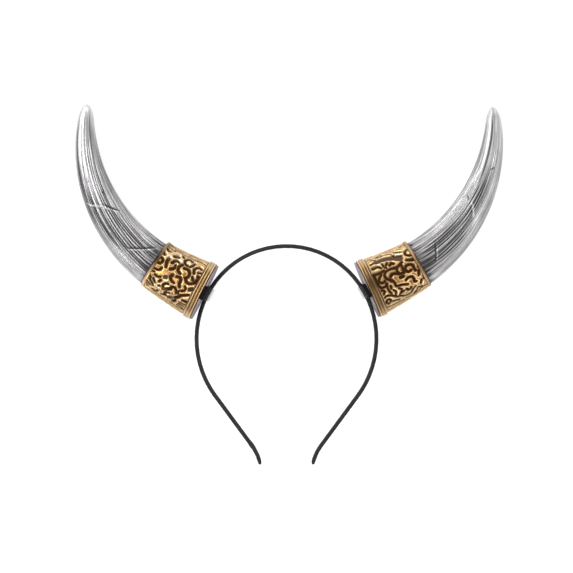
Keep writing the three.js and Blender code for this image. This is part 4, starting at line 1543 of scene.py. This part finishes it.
# Soft lights: metres to the right of the target, up the picture and towards the viewer, width, height and
# share of the main light's power
LIGHTS = {
    "key": (-0.72, 0.25, 1.08, 0.42, 1.1, 1.35),
    "side": (-1.45, 0.1, 0.4, 0.5, 1.2, 0.35),
    "fill": (1.1, 0.0, 0.9, 0.9, 1.1, 0.5),
    "top": (0.0, 1.25, 0.85, 1.4, 0.4, 0.9),
    "low": (0.1, -1.25, 0.5, 1.8, 0.5, 0.9),
}


def face_target(made, place):
    """Stands a light or the camera at a place, looking at the target with the picture's up."""
    back = (place - TARGET).normalized()
    right = PLANE.to_3x3().col[1].cross(back).normalized()
    turn = Matrix((right, back.cross(right), back)).transposed()
    made.matrix_world = Matrix.Translation(place) @ turn.to_4x4()


def floor_finish(settings):
    finish = Finish("pale_floor", {"Roughness": 0.9, "Specular IOR Level": 0.1})
    finish.feed(finish.shader, {
        "Base Color": rgba(settings.floor_colour),
        "Emission Color": rgba(WHITE),
        "Emission Strength": settings.floor_glow,
    })
    return finish.material


def add_floor(settings):
    bm = bmesh.new()
    bmesh.ops.create_grid(bm, x_segments=1, y_segments=1, size=FLOOR_HALF)
    floor = add_object("floor", to_mesh(bm, "floor"))
    floor.data.materials.append(floor_finish(settings))


def add_sky(settings):
    world = bpy.data.worlds.new("studio")
    world.use_nodes = True
    background = world.node_tree.nodes["Background"]
    background.inputs["Color"].default_value = rgba(WHITE)
    background.inputs["Strength"].default_value = settings.sky
    bpy.context.scene.world = world


def add_lights(settings):
    for name, (right, up, near, width, height, share) in LIGHTS.items():
        light = bpy.data.lights.new(name, "AREA")
        light.shape = "RECTANGLE"
        light.size, light.size_y = width, height
        light.energy = settings.light_power * share
        face_target(add_object(name, light), TARGET + PLANE.to_3x3() @ Vector((right, up, near)))


def add_camera():
    """Stands the camera square to the plane of the band, with the photograph's frame."""
    camera = bpy.data.cameras.new("camera")
    camera.sensor_width = SENSOR_WIDTH
    camera.lens = SENSOR_WIDTH * VIEW_DISTANCE / (FRAME_PIXELS * MM_PER_PIXEL)
    stand = add_object("camera", camera)
    face_target(stand, TARGET + PLANE.to_3x3() @ Vector((0, 0, VIEW_DISTANCE * MM)))
    bpy.context.scene.camera = stand


class HEADBAND_OT_stage(bpy.types.Operator):
    """Sets up the floor, the lights and the camera"""

    bl_idname = "headband.stage"
    bl_label = "Stage"

    def execute(self, context):
        settings = context.scene.headband.stage
        add_floor(settings)
        add_sky(settings)
        add_lights(settings)
        add_camera()
        context.scene.view_settings.view_transform = "Standard"
        return {"FINISHED"}


OPERATORS = (
    HEADBAND_OT_band,
    HEADBAND_OT_horns,
    HEADBAND_OT_collars,
    HEADBAND_OT_plates,
    HEADBAND_OT_pads,
    HEADBAND_OT_straps,
    HEADBAND_OT_stage,
)


class HEADBAND_PT_pieces(bpy.types.Panel):
    """Lists the pieces of the headband and the stage"""

    bl_label = "Horn headband"
    bl_space_type = "VIEW_3D"
    bl_region_type = "UI"
    bl_category = "Headband"

    def draw(self, context):
        for operator in OPERATORS:
            self.layout.operator(operator.bl_idname)


CLASSES = (
    BandSettings,
    HornSettings,
    CollarSettings,
    FixingSettings,
    StageSettings,
    HeadbandSettings,
    *OPERATORS,
    HEADBAND_PT_pieces,
)


def register():
    for item in CLASSES:
        bpy.utils.register_class(item)
    bpy.types.Scene.headband = PointerProperty(type=HeadbandSettings)


def unregister():
    del bpy.types.Scene.headband
    for item in reversed(CLASSES):
        bpy.utils.unregister_class(item)


def main():
    register()
    bpy.ops.headband.band()
    bpy.ops.headband.horns()
    bpy.ops.headband.collars()
    bpy.ops.headband.plates()
    bpy.ops.headband.pads()
    bpy.ops.headband.straps()
    bpy.ops.headband.stage()


if __name__ == "__main__":
    main()
